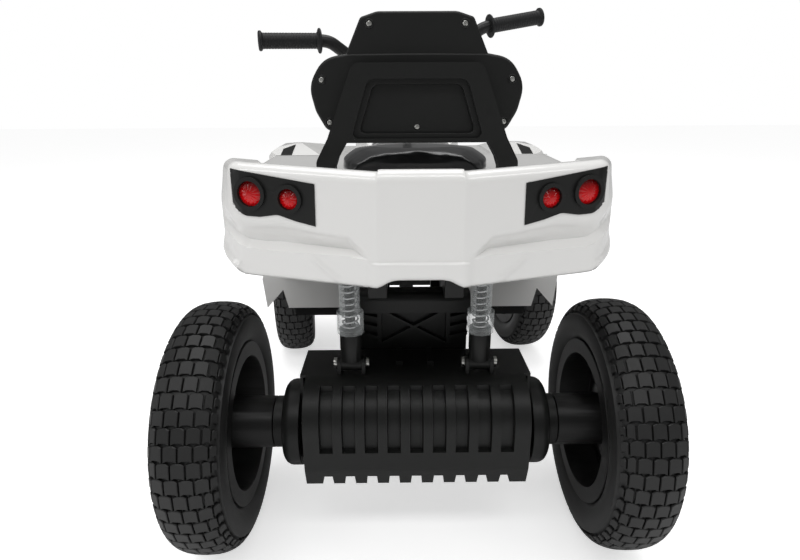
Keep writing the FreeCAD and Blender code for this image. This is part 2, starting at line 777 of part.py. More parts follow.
def gear_walls(front, split, low, high):
    """Two inner walls that carry the idler pin and the motor, with their holes and the pin."""
    idler, motor = gear_places()
    wall = HOUSING_WALL
    x_first = GEAR_START - GEAR_PLANE_GAP
    x_second = GEAR_START + 2 * GEAR_T + 2 * GEAR_PLANE_GAP
    under_cover = HOUSING_TOP - COVER_WALL - SEAT
    plate = [(front, low), (front, high), (split, high), (split, under_cover),
             (motor[0] - MOTOR_R, motor[1] + MOTOR_R / 2), (motor[0] - MOTOR_R, motor[1] - MOTOR_R),
             (split, AXLE_Z), (split, low)]
    walls = [prism_x(plate, x_first - wall, x_first), prism_x(plate, x_second, x_second + wall)]
    holes = []
    for x in (x_first - wall, x_second):
        holes.append(rod_x(x - 1, x + wall + 1, REAR_Y, AXLE_Z, AXLE_R + wall))
        holes.append(rod_x(x - 1, x + wall + 1, motor[0], motor[1], MOTOR_SHAFT_R + wall))
    pin = rod_x(x_first - wall, x_second, idler[0], idler[1], IDLER_PIN_R)
    return walls, holes, pin


def damper_ears():
    """Ears on the housing for the dampers' lower eyes, and the holes in them."""
    ears = []
    holes = []
    top = DAMPER_PIN_Z + EYE_R - EAR_DROP
    y0, y1 = DAMPER_Y - EYE_R, DAMPER_Y + EYE_R
    for side in (-1, 1):
        for face in (-1, 1):
            start = side * DAMPER_X + face * (EYE_HALF + SEAT)
            x0, x1 = sorted((start, start + face * EAR_T))
            ear = [(y0, HOUSING_TOP), (y1, HOUSING_TOP), (y1, top, EAR_ROUND), (y0, top, EAR_ROUND)]
            ears.append(prism_x(ear, x0, x1))
            holes.append(rod_x(x0 - 1, x1 + 1, DAMPER_Y, DAMPER_PIN_Z, DAMPER_PIN_R + FIT))
    return ears, holes


def rear_cover():
    """Ribbed rear cover of the axle housing, with a comb of teeth along its foot."""
    split = behind(HOUSING_SPLIT) - SEAT
    back = split - COVER_DEPTH
    low, high = COVER_BOTTOM, HOUSING_TOP
    wall = COVER_WALL
    foot = low + FOOT_RISE

    def layer(depth, floor):
        """The cover's section, drawn in by a depth, down to a floor."""
        rear = back + depth
        top = high - depth
        return [(split, floor), (split, top), (rear, top, COVER_SPREAD - 1 - depth),
                (rear, foot, FOOT_ROUND - depth), (rear + FOOT_TOE, floor)]

    outer = prism_x(layer(0, low), -COVER_HALF, COVER_HALF)
    inner = prism_x(layer(wall, low + wall), -COVER_HALF + wall, COVER_HALF - wall)
    core = prism_x(layer(GROOVE_DEPTH, low + wall), -COVER_HALF, COVER_HALF)
    cuts = []
    first = -GROOVE_PITCH * (GROOVE_COUNT - 1) / 2
    for i in range(GROOVE_COUNT):
        x = first + i * GROOVE_PITCH
        groove = box(x - GROOVE_W / 2, x + GROOVE_W / 2, back, split, GROOVE_BOTTOM, GROOVE_TOP)
        cuts.append(groove.cut(core))
        cuts.append(box(x - TOOTH_SLOT_W / 2, x + TOOTH_SLOT_W / 2, back, split, low, low + TOOTH_SLOT_H))
    return outer.cut(inner).cut(cuts)


def end_caps():
    """Round caps on the ends of the housing."""
    caps = []
    for side in (-1, 1):
        x0 = side * (HOUSING_HALF + SEAT)
        x1 = x0 + side * CAP_LENGTH
        body = rod_x(x0, x1, REAR_Y, AXLE_Z, CAP_R)
        end = min(body.Edges, key=lambda e: -side * e.CenterOfMass.x)
        body = body.makeChamfer(2 * CAP_WALL, [end])
        hollow = rod_x(x0, x1 - side * CAP_WALL, REAR_Y, AXLE_Z, CAP_R - 3 * CAP_WALL)
        hole = rod_x(x0, x1 + side, REAR_Y, AXLE_Z, AXLE_R + CAP_WALL)
        caps.append(body.cut([hollow, hole]))
    return Part.makeCompound(caps)


def swing_arm():
    """Ribbed panel, top beam and two arms that run to the pivot."""
    rear = ahead(HOUSING_FRONT) + SEAT
    low = HOUSING_BOTTOM + HOUSING_WALL
    panel = box(-PANEL_HALF, PANEL_HALF, rear, rear + PANEL_T, low, PANEL_TOP)
    rib_back = rear - PANEL_RIB_DEPTH
    rib_low = HOUSING_TOP + PANEL_RIB_RISE
    ribs = []
    half = BRACE_W / 2
    for lean in (-BRACE_X, BRACE_X):
        bar = [(-lean - half, rib_low), (-lean + half, rib_low),
               (lean + half, PANEL_TOP), (lean - half, PANEL_TOP)]
        ribs.append(prism_y(bar, rib_back, rear))
    for side in (-1, 1):
        edge = side * BRACE_X
        x0, x1 = sorted((edge, edge + side * EDGE_RIB_W))
        ribs.append(box(x0, x1, rib_back, rear, rib_low, PANEL_TOP))
        for step in range(FIN_COUNT):
            z = rib_low + FIN_START + step * FIN_PITCH
            end = side * PANEL_HALF
            fin = [(edge, z), (end, z + FIN_RISE), (end, z + FIN_RISE + FIN_W), (edge, z + FIN_W)]
            ribs.append(prism_y(fin, rib_back, rear))
    beam_y0 = rear + PANEL_T / 2 - BEAM_DEPTH / 2
    beam_y1 = beam_y0 + BEAM_DEPTH
    beam = prism_x([(beam_y0, PANEL_TOP), (beam_y1, PANEL_TOP), (beam_y1, BEAM_TOP, BEAM_ROUND),
                    (beam_y0, BEAM_TOP, BEAM_ROUND)], -BEAM_HALF, BEAM_HALF)
    arms = []
    for side in (-1, 1):
        x0, x1 = sorted((side * ARM_GAP / 2, side * (ARM_GAP / 2 + ARM_T)))
        plate = [(rear, low + ARM_FOOT), (PIVOT_Y, PIVOT_Z - PIVOT_BOSS_R),
                 (PIVOT_Y, PIVOT_Z + PIVOT_BOSS_R), (rear, PANEL_TOP)]
        arms.append(prism_x(plate, x0, x1))
    boss_half = ARM_GAP / 2 + ARM_T
    boss = rod_x(-boss_half, boss_half, PIVOT_Y, PIVOT_Z, PIVOT_BOSS_R)
    bore = rod_x(-boss_half - 1, boss_half + 1, PIVOT_Y, PIVOT_Z, PIVOT_R + FIT)
    return fuse(panel, beam, boss, *arms, *ribs).cut(bore)


def cross_bolt(x0, x1, y, z, radius):
    """A bolt along X with a head at one end and a nut at the other."""
    shank = rod_x(x0 - BOLT_HEAD_T, x1 + BOLT_HEAD_T, y, z, radius)
    head = rod_x(x0 - BOLT_HEAD_T, x0 - SEAT, y, z, radius * BOLT_HEAD_SHARE)
    nut = rod_x(x1 + SEAT, x1 + BOLT_HEAD_T, y, z, radius * BOLT_HEAD_SHARE)
    return fuse(shank, head, nut)


def swing_group():
    """Everything that swings with the rear axle, apart from what turns."""
    nodes = {}
    nodes["axle_housing"] = axle_housing()
    nodes["housing_rear_cover"] = rear_cover()
    nodes["housing_end_caps"] = end_caps()
    nodes["swing_arm"] = swing_arm()
    bearings = []
    bolts = []
    for side in (-1, 1):
        x0 = side * (HOUSING_HALF - BEARING_W)
        bearings.append(ring_x(x0, side * HOUSING_HALF, REAR_Y, AXLE_Z, BEARING_R, AXLE_R + FIT))
        half = EYE_HALF + SEAT + EAR_T
        x = side * DAMPER_X
        bolts.append(cross_bolt(x - half, x + half, DAMPER_Y, DAMPER_PIN_Z, DAMPER_PIN_R))
    nodes["axle_bearings"] = Part.makeCompound(bearings)
    nodes["damper_bolts"] = Part.makeCompound(bolts)
    return nodes


# Dampers

def arc_mid(start, tangent, end):
    """Middle of the arc that leaves start along tangent and reaches end."""
    chord = end - start
    length = chord.Length
    chord_dir = chord * (1 / length)
    side = tangent - chord_dir * tangent.dot(chord_dir)
    angle = math.acos(max(-1.0, min(1.0, tangent.dot(chord_dir))))
    side.normalize()
    return (start + end) * 0.5 + side * (length / 2 * math.tan(angle / 2))


def biarc(p0, t0, p1, t1):
    """Two arcs that join p0 and p1 and keep both tangents."""
    span = p1 - p0
    both = t0 + t1
    weight = 2 * (1 - t0.dot(t1))
    reach = (-span.dot(both) + math.sqrt(span.dot(both) ** 2 + weight * span.dot(span))) / weight
    joint = (p0 + t0 * reach + p1 - t1 * reach) * 0.5
    first = Part.Arc(p0, arc_mid(p0, t0, joint), joint).toShape()
    second = Part.Arc(joint, arc_mid(p1, t1 * -1, joint), p1).toShape()
    return [first, second]


def coil_spring(x, y, z0, z1):
    """A compression spring as one wound wire between two seats."""
    lead = WIRE_D * 0.15
    start_z = z0 + WIRE_D / 2 + SEAT + lead
    end_z = z1 - WIRE_D / 2 - SEAT - lead
    pitch = (end_z - start_z) / COILS

    def point(turn):
        angle = 2 * math.pi * turn
        return V(x + SPRING_R * math.cos(angle), y + SPRING_R * math.sin(angle), start_z + pitch * turn)

    def tangent(turn):
        angle = 2 * math.pi * turn
        slope = V(-SPRING_R * math.sin(angle), SPRING_R * math.cos(angle), pitch / (2 * math.pi))
        slope.normalize()
        return slope

    first = point(0) - tangent(0) * WIRE_D
    last = point(COILS) + tangent(COILS) * WIRE_D
    edges = [Part.LineSegment(first, point(0)).toShape()]
    for i in range(4 * COILS):
        edges += biarc(point(i / 4), tangent(i / 4), point((i + 1) / 4), tangent((i + 1) / 4))
    edges.append(Part.LineSegment(point(COILS), last).toShape())
    section = Part.Wire([Part.makeCircle(WIRE_D / 2, first, tangent(0))])
    samples = [point(i / 24) for i in range(24 * COILS + 1)]
    count = len(samples)
    gap = min((samples[i] - samples[j]).Length for i in range(count) for j in range(i + 12, count))
    print("spring: least gap between turns", round(gap - WIRE_D, 2), "mm")
    return Part.Wire(edges).makePipeShell([section], True, False)


def dampers():
    """Tubes, guards, springs and rods of the two rear dampers."""
    tubes, cups, sleeves, springs, rods = [], [], [], [], []
    for side in (-1, 1):
        x = side * DAMPER_X

        def post(z0, z1, radius):
            return rod(V(x, DAMPER_Y, z0), V(x, DAMPER_Y, z1), radius)

        eye = rod_x(x - EYE_HALF, x + EYE_HALF, DAMPER_Y, DAMPER_PIN_Z, EYE_R)
        tube = fuse(eye, post(DAMPER_PIN_Z + EYE_R / 2, TUBE_TOP, TUBE_R).common(
            box(x - EYE_HALF, x + EYE_HALF, DAMPER_Y - TUBE_R, DAMPER_Y + TUBE_R, 0, TUBE_TOP)))
        collar = post(DAMPER_PIN_Z + 2 * EYE_R, TUBE_TOP, TUBE_R)
        pin_hole = rod_x(x - EYE_HALF, x + EYE_HALF, DAMPER_Y, DAMPER_PIN_Z, DAMPER_PIN_R + FIT)
        bore = post(TUBE_BORE_BOTTOM, TUBE_TOP, ROD_R + ROD_GAP)
        tubes.append(fuse(tube, collar).cut([pin_hole, bore]))
        skirt = TUBE_TOP - CUP_SKIRT
        cup = post(skirt, CUP_TOP, CUP_R).cut(post(TUBE_TOP, CUP_TOP, CUP_R - GUARD_WALL))
        cups.append(cup.cut(post(skirt, TUBE_TOP, TUBE_R + SEAT)))
        sleeve_low = CUP_TOP - SLEEVE_OVERLAP
        sleeve_top = SPRING_SEAT_Z - SEAT
        sleeve = post(sleeve_low, sleeve_top, SLEEVE_R)
        sleeves.append(sleeve.cut(post(sleeve_low, sleeve_top, SLEEVE_R - GUARD_WALL)))
        springs.append(coil_spring(x, DAMPER_Y, TUBE_TOP, SPRING_SEAT_Z))
        top_eye = rod_x(x - EYE_HALF, x + EYE_HALF, DAMPER_Y, DAMPER_TOP_Z, EYE_R)
        seat = post(SPRING_SEAT_Z, SPRING_SEAT_Z + SPRING_SEAT_T, SPRING_SEAT_R)
        top_hole = rod_x(x - EYE_HALF, x + EYE_HALF, DAMPER_Y, DAMPER_TOP_Z, DAMPER_PIN_R + FIT)
        shaft = post(ROD_BOTTOM, DAMPER_TOP_Z, ROD_R)
        rods.append(fuse(shaft, seat, top_eye).cut(top_hole))
    return {
        "damper_tubes": Part.makeCompound(tubes),
        "spring_guards_lower": Part.makeCompound(cups),
        "spring_guards_upper": Part.makeCompound(sleeves),
        "springs": Part.makeCompound(springs),
        "damper_rods": Part.makeCompound(rods),
    }


# Frame

def frame():
    """Welded steel frame, as the tubes that it is made of."""
    rear_end = DAMPER_Y - TOWER_DEPTH / 2
    front_end = FRONT_Y + FRONT_POST_AHEAD
    rails = [box(x0, x1, rear_end, front_end, RAIL_Z, RAIL_TOP) for x0, x1 in rail_spans()]
    lug_in = ARM_GAP / 2 + ARM_T + SEAT
    bolt_half = lug_in + LUG_T
    return {
        "frame_rails": Part.makeCompound(rails),
        "frame_rear_tower": rear_tower(rear_end),
        "frame_mid_cross": mid_cross(lug_in),
        "swing_pivot_bolt": cross_bolt(-bolt_half, bolt_half, PIVOT_Y, PIVOT_Z, PIVOT_R),
        "frame_front_axle": front_axle(front_end),
        "frame_column_support": column_support(),
        "column_bushes": column_bushes(),
        "front_bumper": bumper(front_end),
    }


def rail_spans():
    """Sides of the left and the right rail, as (x0, x1)."""
    return [(-RAIL_OUT, -RAIL_IN), (RAIL_IN, RAIL_OUT)]


def rear_tower(rear_end):
    """Posts, cross bar, lugs and pins that carry the tops of the dampers."""
    y0, y1 = rear_end, rear_end + TOWER_DEPTH
    pieces = [box(-TOWER_HALF, TOWER_HALF, y0, y1, TOWER_Z, TOWER_Z + TOWER_H)]
    for x0, x1 in rail_spans():
        pieces.append(box(x0, x1, y0, y1, RAIL_TOP + SEAT, TOWER_Z))
    half = EYE_HALF + SEAT + EAR_T
    for x in (-DAMPER_X, DAMPER_X):
        for face in (-1, 1):
            start = x + face * (EYE_HALF + SEAT)
            x0, x1 = sorted((start, start + face * EAR_T))
            pieces.append(box(x0, x1, y0, y1, DAMPER_TOP_Z - EYE_R, TOWER_Z))
        pieces.append(rod_x(x - half, x + half, DAMPER_Y, DAMPER_TOP_Z, DAMPER_PIN_R))
    return fuse(*pieces)


def mid_cross(lug_in):
    """Cross tube under the footwells, with its posts and the swing arm's lugs."""
    y0 = ahead(CROSS_AHEAD)
    y1 = y0 + CROSS_DEPTH
    top = CROSS_Z + CROSS_H
    half, turn = CROSS_HALF, CROSS_ROUND
    tube = [(-half, CROSS_Z, turn), (half, CROSS_Z, turn), (half, top), (-half, top)]
    pieces = [prism_y(tube, y0, y1)]
    under_rail = RAIL_Z - SEAT
    for x0, x1 in rail_spans():
        pieces.append(box(x0, x1, y0, y1, top, under_rail))
    foot = PIVOT_Z - PIVOT_BOSS_R
    lug = [(PIVOT_Y - 2 * PIVOT_BOSS_R, under_rail), (PIVOT_Y - PIVOT_BOSS_R, foot, LUG_ROUND),
           (PIVOT_Y + PIVOT_BOSS_R, foot, LUG_ROUND), (y0, top + CROSS_H), (y0, under_rail)]
    holes = []
    for side in (-1, 1):
        x0, x1 = sorted((side * lug_in, side * (lug_in + LUG_T)))
        pieces.append(prism_x(lug, x0, x1))
        holes.append(rod_x(x0 - 1, x1 + 1, PIVOT_Y, PIVOT_Z, PIVOT_R + FIT))
    return fuse(*pieces).cut(holes)


def bush_radius():
    """Outer radius of a steering bush."""
    return COLUMN_R + FIT + BUSH_WALL


def front_axle(front_end):
    """Front axle beam with its kingpin sleeves, posts and the column's lower holder."""
    y0, y1 = FRONT_Y - BEAM_BOX / 2, FRONT_Y + BEAM_BOX / 2
    z0, z1 = AXLE_Z - BEAM_BOX / 2, AXLE_Z + BEAM_BOX / 2
    radius = KINGPIN_SLEEVE_R
    pieces = [box(-KINGPIN_X, KINGPIN_X, y0, y1, z0, z1)]
    holes = []
    for side in (-1, 1):
        x = side * KINGPIN_X
        low = V(x, FRONT_Y, AXLE_Z - SLEEVE_HALF)
        high = V(x, FRONT_Y, AXLE_Z + SLEEVE_HALF)
        pieces.append(rod(low, high, radius))
        clear0, clear1 = sorted((x, x + side * radius * 2))
        holes.append(box(clear0, clear1, y0, y1, z0, z1).cut(rod(low, high, radius)))
        holes.append(rod(low, high, KINGPIN_R + FIT))
    for x0, x1 in rail_spans():
        pieces.append(box(x0, x1, FRONT_Y, front_end, z1, RAIL_Z - SEAT))
    holder_r = bush_radius() + FIT + HOLDER_WALL
    low_end = along_column(LOWER_BUSH_S)
    low_top = along_column(LOWER_BUSH_S + BUSH_LENGTH)
    pieces.append(rod(low_end, low_top, holder_r))
    pieces.append(box(-holder_r, holder_r, low_end.y - holder_r, FRONT_Y, z0, low_end.z))
    holes.append(rod(along_column(LOWER_BUSH_S - SEAT), low_top, bush_radius() + FIT))
    return fuse(*pieces).cut(holes)


def column_support():
    """Two posts on the rails that hold the column's upper bush."""
    low = along_column(UPPER_BUSH_S)
    high = along_column(UPPER_BUSH_S + BUSH_LENGTH)
    mid = (low + high) * 0.5
    pieces = [rod(low, high, bush_radius() + FIT + HOLDER_WALL)]
    arm_h, arm_w = HOLDER_ARM_H / 2, HOLDER_ARM_W / 2
    for side in (-1, 1):
        x0, x1 = sorted((side * RAIL_IN, side * RAIL_OUT))
        pieces.append(box(x0, x1, mid.y - RAIL_W / 2, mid.y + RAIL_W / 2, RAIL_TOP + SEAT, mid.z + arm_h))
        x0, x1 = sorted((side * bush_radius(), side * RAIL_OUT))
        pieces.append(box(x0, x1, mid.y - arm_w, mid.y + arm_w, mid.z - arm_h, mid.z + arm_h))
    return fuse(*pieces).cut(rod(low, high, bush_radius() + FIT))


def column_bushes():
    """Plain bushes that the steering column turns in."""
    bushes = []
    for start in (LOWER_BUSH_S, UPPER_BUSH_S):
        low, high = along_column(start), along_column(start + BUSH_LENGTH)
        bushes.append(rod(low, high, bush_radius()).cut(rod(low, high, COLUMN_R + FIT)))
    return Part.makeCompound(bushes)


def bumper(post_y):
    """Tube hoop ahead of the front wheels, on two stays."""
    y = FRONT_Y + BUMPER_REACH - BUMPER_R
    half, bend = BUMPER_HALF, BUMPER_BEND
    corners = [(-half, BUMPER_LOW, bend), (half, BUMPER_LOW, bend),
               (half, BUMPER_HIGH, bend), (-half, BUMPER_HIGH, bend)]
    path = outline(corners, lambda p: V(p.x, y, p.y))
    first = path.OrderedEdges[0]
    start = first.valueAt(first.FirstParameter)
    tangent = first.tangentAt(first.FirstParameter)
    hoop = path.makePipeShell([Part.Wire([Part.makeCircle(BUMPER_R, start, tangent)])], True, False)
    stays = []
    for side in (-1, 1):
        x = side * RAIL_X
        stays.append(rod(V(x, post_y + SEAT, BUMPER_LOW), V(x, y, BUMPER_LOW), STAY_R))
    return fuse(hoop, *stays)


# Steering

def steering():
    """Column, handlebar and grips, turned to the rest angle of the bars."""
    top = along_column(COLUMN_LENGTH)
    column = rod(along_column(LOWER_BUSH_S), top, COLUMN_R)
    clamp = rod_x(-CLAMP_HALF, CLAMP_HALF, top.y, top.z, CLAMP_R)
    arm_start = along_column(CRANK_S)
    arm_end = arm_start + COLUMN_BACK * CRANK
    lift = COLUMN_DIR * CRANK_T
    crank_eye = rod(arm_end, arm_end + lift, CRANK_HALF)
    crank_hub = rod(arm_start, arm_start + lift, COLUMN_R + BUSH_WALL)
    wide = X_AXIS * CRANK_HALF
    crank_bar = Part.Face(Part.makePolygon(
        [arm_start - wide, arm_start + wide, arm_end + wide, arm_end - wide, arm_start - wide])).extrude(lift)
    crank_pin = rod(arm_end - COLUMN_DIR * CRANK_PIN_LENGTH, arm_end + lift, CRANK_PIN_R)
    bar_hole = rod_x(-CLAMP_HALF - 1, CLAMP_HALF + 1, top.y, top.z, BAR_R + FIT)
    collar_s = LOWER_BUSH_S + BUSH_LENGTH + SEAT
    collar = rod(along_column(collar_s), along_column(collar_s + COLLAR_T), COLUMN_R + BUSH_WALL / 2)
    column = fuse(column, clamp, crank_eye, crank_hub, crank_bar, crank_pin, collar).cut(bar_hole)

    corners = [V(-BAR_END, BAR_END_RISE, 0), V(-BAR_KNEE, BAR_RISE, 0), V(-BAR_FLAT, 0, 0),
               V(BAR_FLAT, 0, 0), V(BAR_KNEE, BAR_RISE, 0), V(BAR_END, BAR_END_RISE, 0)]

    def place(p):
        return top + X_AXIS * p.x + COLUMN_DIR * p.y

    edges = []
    start = corners[0]
    for i in range(1, len(corners) - 1):
        back = corners[i - 1] - corners[i]
        out = corners[i + 1] - corners[i]
        back.normalize()
        out.normalize()
        half = math.acos(back.dot(out)) / 2
        reach = BAR_BEND / math.tan(half)
        middle = back + out
        middle.normalize()
        a = corners[i] + back * reach
        b = corners[i] + out * reach
        m = corners[i] + middle * (BAR_BEND / math.sin(half) - BAR_BEND)
        edges.append(Part.LineSegment(place(start), place(a)).toShape())
        edges.append(Part.Arc(place(a), place(m), place(b)).toShape())
        start = b
    edges.append(Part.LineSegment(place(start), place(corners[-1])).toShape())
    end_dir = place(corners[1]) - place(corners[0])
    section = Part.Wire([Part.makeCircle(BAR_R, place(corners[0]), end_dir)])
    bar = Part.Wire(edges).makePipeShell([section], True, False)

    grips = []
    for outer, inner in ((corners[0], corners[1]), (corners[-1], corners[-2])):
        end = place(outer)
        run = place(inner) - end
        run.normalize()
        out_end = end - run * (GRIP_FLANGE_T + SEAT)
        in_end = out_end + run * GRIP_LENGTH
        barrel = rod(out_end, in_end, GRIP_R)
        knob = rod(out_end, out_end + run * GRIP_FLANGE_T, GRIP_END_R)
        guard = rod(in_end - run * GRIP_FLANGE_T, in_end, GRIP_FLANGE_R)
        hole = rod(end - run * SEAT, in_end, BAR_R + GRIP_GAP)
        grips.append(fuse(barrel, knob, guard).cut(hole))

    nodes = {"steering_column": column, "handlebar": bar, "grips": Part.makeCompound(grips)}
    for shape in nodes.values():
        shape.rotate(COLUMN_FOOT, COLUMN_DIR, REST_BARS)
    return nodes


def front_wheels():
    """Knuckles, front wheels and tie rod, turned to the rest angle of the wheels."""
    nodes = {}
    low = AXLE_Z - SLEEVE_HALF - SEAT
    high = AXLE_Z + SLEEVE_HALF + SEAT
    arm_top = high + KNUCKLE_T
    tie_z = arm_top + SEAT
    for name, side in (("left", -1), ("right", 1)):
        x = side * KINGPIN_X
        plate_in = x + side * KNUCKLE_PLATE_IN
        plate_out = plate_in + side * KNUCKLE_PLATE_T
        a, b = sorted((x - side * KNUCKLE_HALF, plate_out))
        y0 = FRONT_Y - KNUCKLE_HALF
        y1 = FRONT_Y + KNUCKLE_HALF
        plates = [box(a, b, y0, y1, high, arm_top), box(a, b, y0, y1, low - KNUCKLE_T, low)]
        p0, p1 = sorted((plate_in, plate_out))
        plates.append(box(p0, p1, y0, y1, low - KNUCKLE_T, arm_top))
        pin = rod(V(x, FRONT_Y, low - KNUCKLE_T), V(x, FRONT_Y, arm_top), KINGPIN_R)
        wheel_x = side * FRONT_TRACK / 2
        web_out = wheel_x + side * (WEB_OUT + WEB_T / 2)
        spindle = rod_x(plate_in, web_out + side * (SEAT + NUT_H + AXLE_STICK), FRONT_Y, AXLE_Z, AXLE_R)
        arm = box(x - TIE_HALF, x + TIE_HALF, FRONT_Y - ARM_LENGTH - TIE_HALF, y0, high, arm_top)
        arm_y = FRONT_Y - ARM_LENGTH
        arm_pin = rod(V(x, arm_y, high), V(x, arm_y, tie_z + TIE_T + ARM_PIN_STICK), ARM_PIN_R)
        nodes["knuckle_" + name] = fuse(*plates, pin, spindle, arm, arm_pin)
        nodes["front_tyre_" + name] = tyre(wheel_x, FRONT_Y)
        nodes["front_rim_" + name] = rim(wheel_x, FRONT_Y, side, plate_out + side * SEAT, FRONT_HUB_R)
        nut_in = web_out + side * SEAT
        n0, n1 = sorted((nut_in, nut_in + side * NUT_H))
        nodes["front_wheel_nut_" + name] = hex_nut(n0, n1, FRONT_Y)
        for piece in ("knuckle_", "front_tyre_", "front_rim_", "front_wheel_nut_"):
            nodes[piece + name].rotate(V(x, FRONT_Y, 0), Z_AXIS, REST_WHEELS)
    tie_y = FRONT_Y - ARM_LENGTH
    tie_top = tie_z + TIE_T
    tie_half = KINGPIN_X + TIE_HALF
    bar = box(-tie_half, tie_half, tie_y - TIE_HALF, tie_y + TIE_HALF, tie_z, tie_top)
    pad_front = tie_y + SLOT_AHEAD + SLOT_LAND
    pad = box(-TIE_PAD_HALF, TIE_PAD_HALF, tie_y - TIE_HALF, pad_front, tie_z, tie_top)
    slot_half = CRANK_PIN_R + LOOSE
    slot = box(-slot_half, slot_half, tie_y - SLOT_BACK, tie_y + SLOT_AHEAD, tie_z, tie_top)
    holes = [slot]
    for side, clearance in ((-1, FIT), (1, LOOSE)):
        at = V(side * KINGPIN_X, tie_y, tie_z)
        holes.append(rod(at, at + Z_AXIS * TIE_T, ARM_PIN_R + clearance))
    tie = fuse(bar, pad).cut(holes)
    turn = math.radians(REST_WHEELS)
    tie.translate(V(ARM_LENGTH * math.sin(turn), ARM_LENGTH * (1 - math.cos(turn)), 0))
    nodes["tie_rod"] = tie
    return nodes


# Bodywork

TAIL_PLAN = both_sides([
    (TAIL_TAB_X, behind(TAIL_BEHIND)),
    (TAIL_TAB_X + TAB_RUN, behind(TAIL_BEHIND - TAB_STEP)),
    (TAIL_CORNER_X, behind(TAIL_CORNER_BEHIND), TAIL_CORNER_ROUND),
    (TAIL_SIDE_X, behind(TAIL_CORNER_BEHIND / 2), TAIL_SIDE_ROUND),
    (FENDER_FRONT_X, ahead(TUB_REAR) - SEAT)])


def tail_shape(drop, inset):
    """Solid inside the rear fender's skin, lowered and drawn in."""
    plan = prism_z(TAIL_PLAN, 0, 2 * TAIL_TOP, inset)
    back = behind(TAIL_BEHIND + CUT_OVER)
    shelf = behind(TAIL_BEHIND - TAIL_SHELF)
    front = ahead(TUB_REAR)
    foot = -TAIL_BOTTOM if drop else 0
    deck, top = DECK_Z - drop, TAIL_TOP - drop
    side = [(back, TAIL_BOTTOM + foot), (behind(TAIL_CORNER_BEHIND), TAIL_BOTTOM + foot),
            (behind(ARCH_BEHIND), ARCH_Z + foot), (ahead(ARCH_RUN_1), ARCH_Z - ARCH_FALL_1 + foot),
            (ahead(ARCH_RUN_2), ARCH_Z - ARCH_FALL_2 + foot), (front, FENDER_FRONT_Z + foot), (front, deck),
            (shelf + SHELF_RUN, deck), (shelf, top - SHELF_FALL, SHELF_ROUND), (back, top)]
    return plan.common(prism_x(side, -FRONT_HALF, FRONT_HALF))


def lamp_outline(side):
    """Outline of a tail lamp on one side, as (x, z) and a round."""
    return [(side * p[0], TAIL_TOP - p[1]) + tuple(p[2:]) for p in LAMP_SHAPE]


def rear_fender():
    """White tail and rear fender, open below, with a way through its front wall for the frame."""
    shell = tail_shape(0, 0).cut(tail_shape(SHELL_WALL, SHELL_WALL))
    back = behind(TAIL_BEHIND + CUT_OVER)
    inner = behind(ARCH_BEHIND)
    low, under = TAIL_BOTTOM, TAIL_BOTTOM - 2 * CUT_OVER
    tab, step = TAIL_TAB_X, TAIL_TAB_X + TAB_RUN / 2
    wide = TAIL_SIDE_X + CUT_OVER
    cuts = []
    for side in (-1, 1):
        skirt = [(step, under), (step, low), (TAIL_CORNER_X - SKIRT_RUN, low + SKIRT_RISE),
                 (TAIL_SIDE_X, low + CORNER_RISE), (wide, low + CORNER_RISE), (wide, under)]
        cuts.append(prism_y([(side * x, z) for x, z in skirt], back, inner))
        cuts.append(prism_y(lamp_outline(side), back, inner))
        notch = [(side * tab, TAIL_TOP - TAB_STEP), (side * 2 * tab, TAIL_TOP - TAB_STEP / 2),
                 (side * 2 * tab, TAIL_TOP + CUT_OVER), (side * (tab - TAB_STEP), TAIL_TOP + CUT_OVER)]
        cuts.append(prism_y(notch, back, behind(TAIL_BEHIND - CUT_OVER)))
    rise = low + TAB_ARCH_RISE
    cuts.append(prism_y([(-tab, under), (tab, under), (tab, low), (TAB_ARCH_X, rise, TAB_ARCH_ROUND),
                         (-TAB_ARCH_X, rise, TAB_ARCH_ROUND), (-tab, low)], back, inner))
    way = TUNNEL_HALF - TUB_WALL
    wall_y = ahead(TUB_REAR) - 2 * SHELL_WALL
    cuts.append(box(-way, way, wall_y, wall_y + CUT_OVER, FENDER_FRONT_Z - CUT_OVER, TUNNEL_TOP))
    return shell.cut(cuts)


def face_normal(side):
    """Outward direction of the slanted tail face."""
    run = V(TAIL_CORNER_X - TAIL_TAB_X - TAB_RUN, TAIL_BEHIND - TAB_STEP - TAIL_CORNER_BEHIND, 0)
    normal = V(run.y, -run.x, 0)
    normal.normalize()
    return V(side * normal.x, normal.y, 0)


def face_point(x, z, side):
    """A point on the slanted tail face."""
    start_x = TAIL_TAB_X + TAB_RUN
    slope = (TAIL_BEHIND - TAB_STEP - TAIL_CORNER_BEHIND) / (TAIL_CORNER_X - start_x)
    return V(side * x, behind(TAIL_BEHIND - TAB_STEP) + (x - start_x) * slope, z)


def lens(at, normal, radius):
    """A domed lens on a short barrel."""
    ball_r = (radius ** 2 + LENS_DOME ** 2) / (2 * LENS_DOME)
    barrel = rod(at - normal * LENS_DEPTH, at + normal * LENS_DOME, radius)
    ball = Part.makeSphere(ball_r, at + normal * (LENS_DOME - ball_r))
    return barrel.common(ball.fuse(rod(at - normal * LENS_DEPTH, at, radius)))


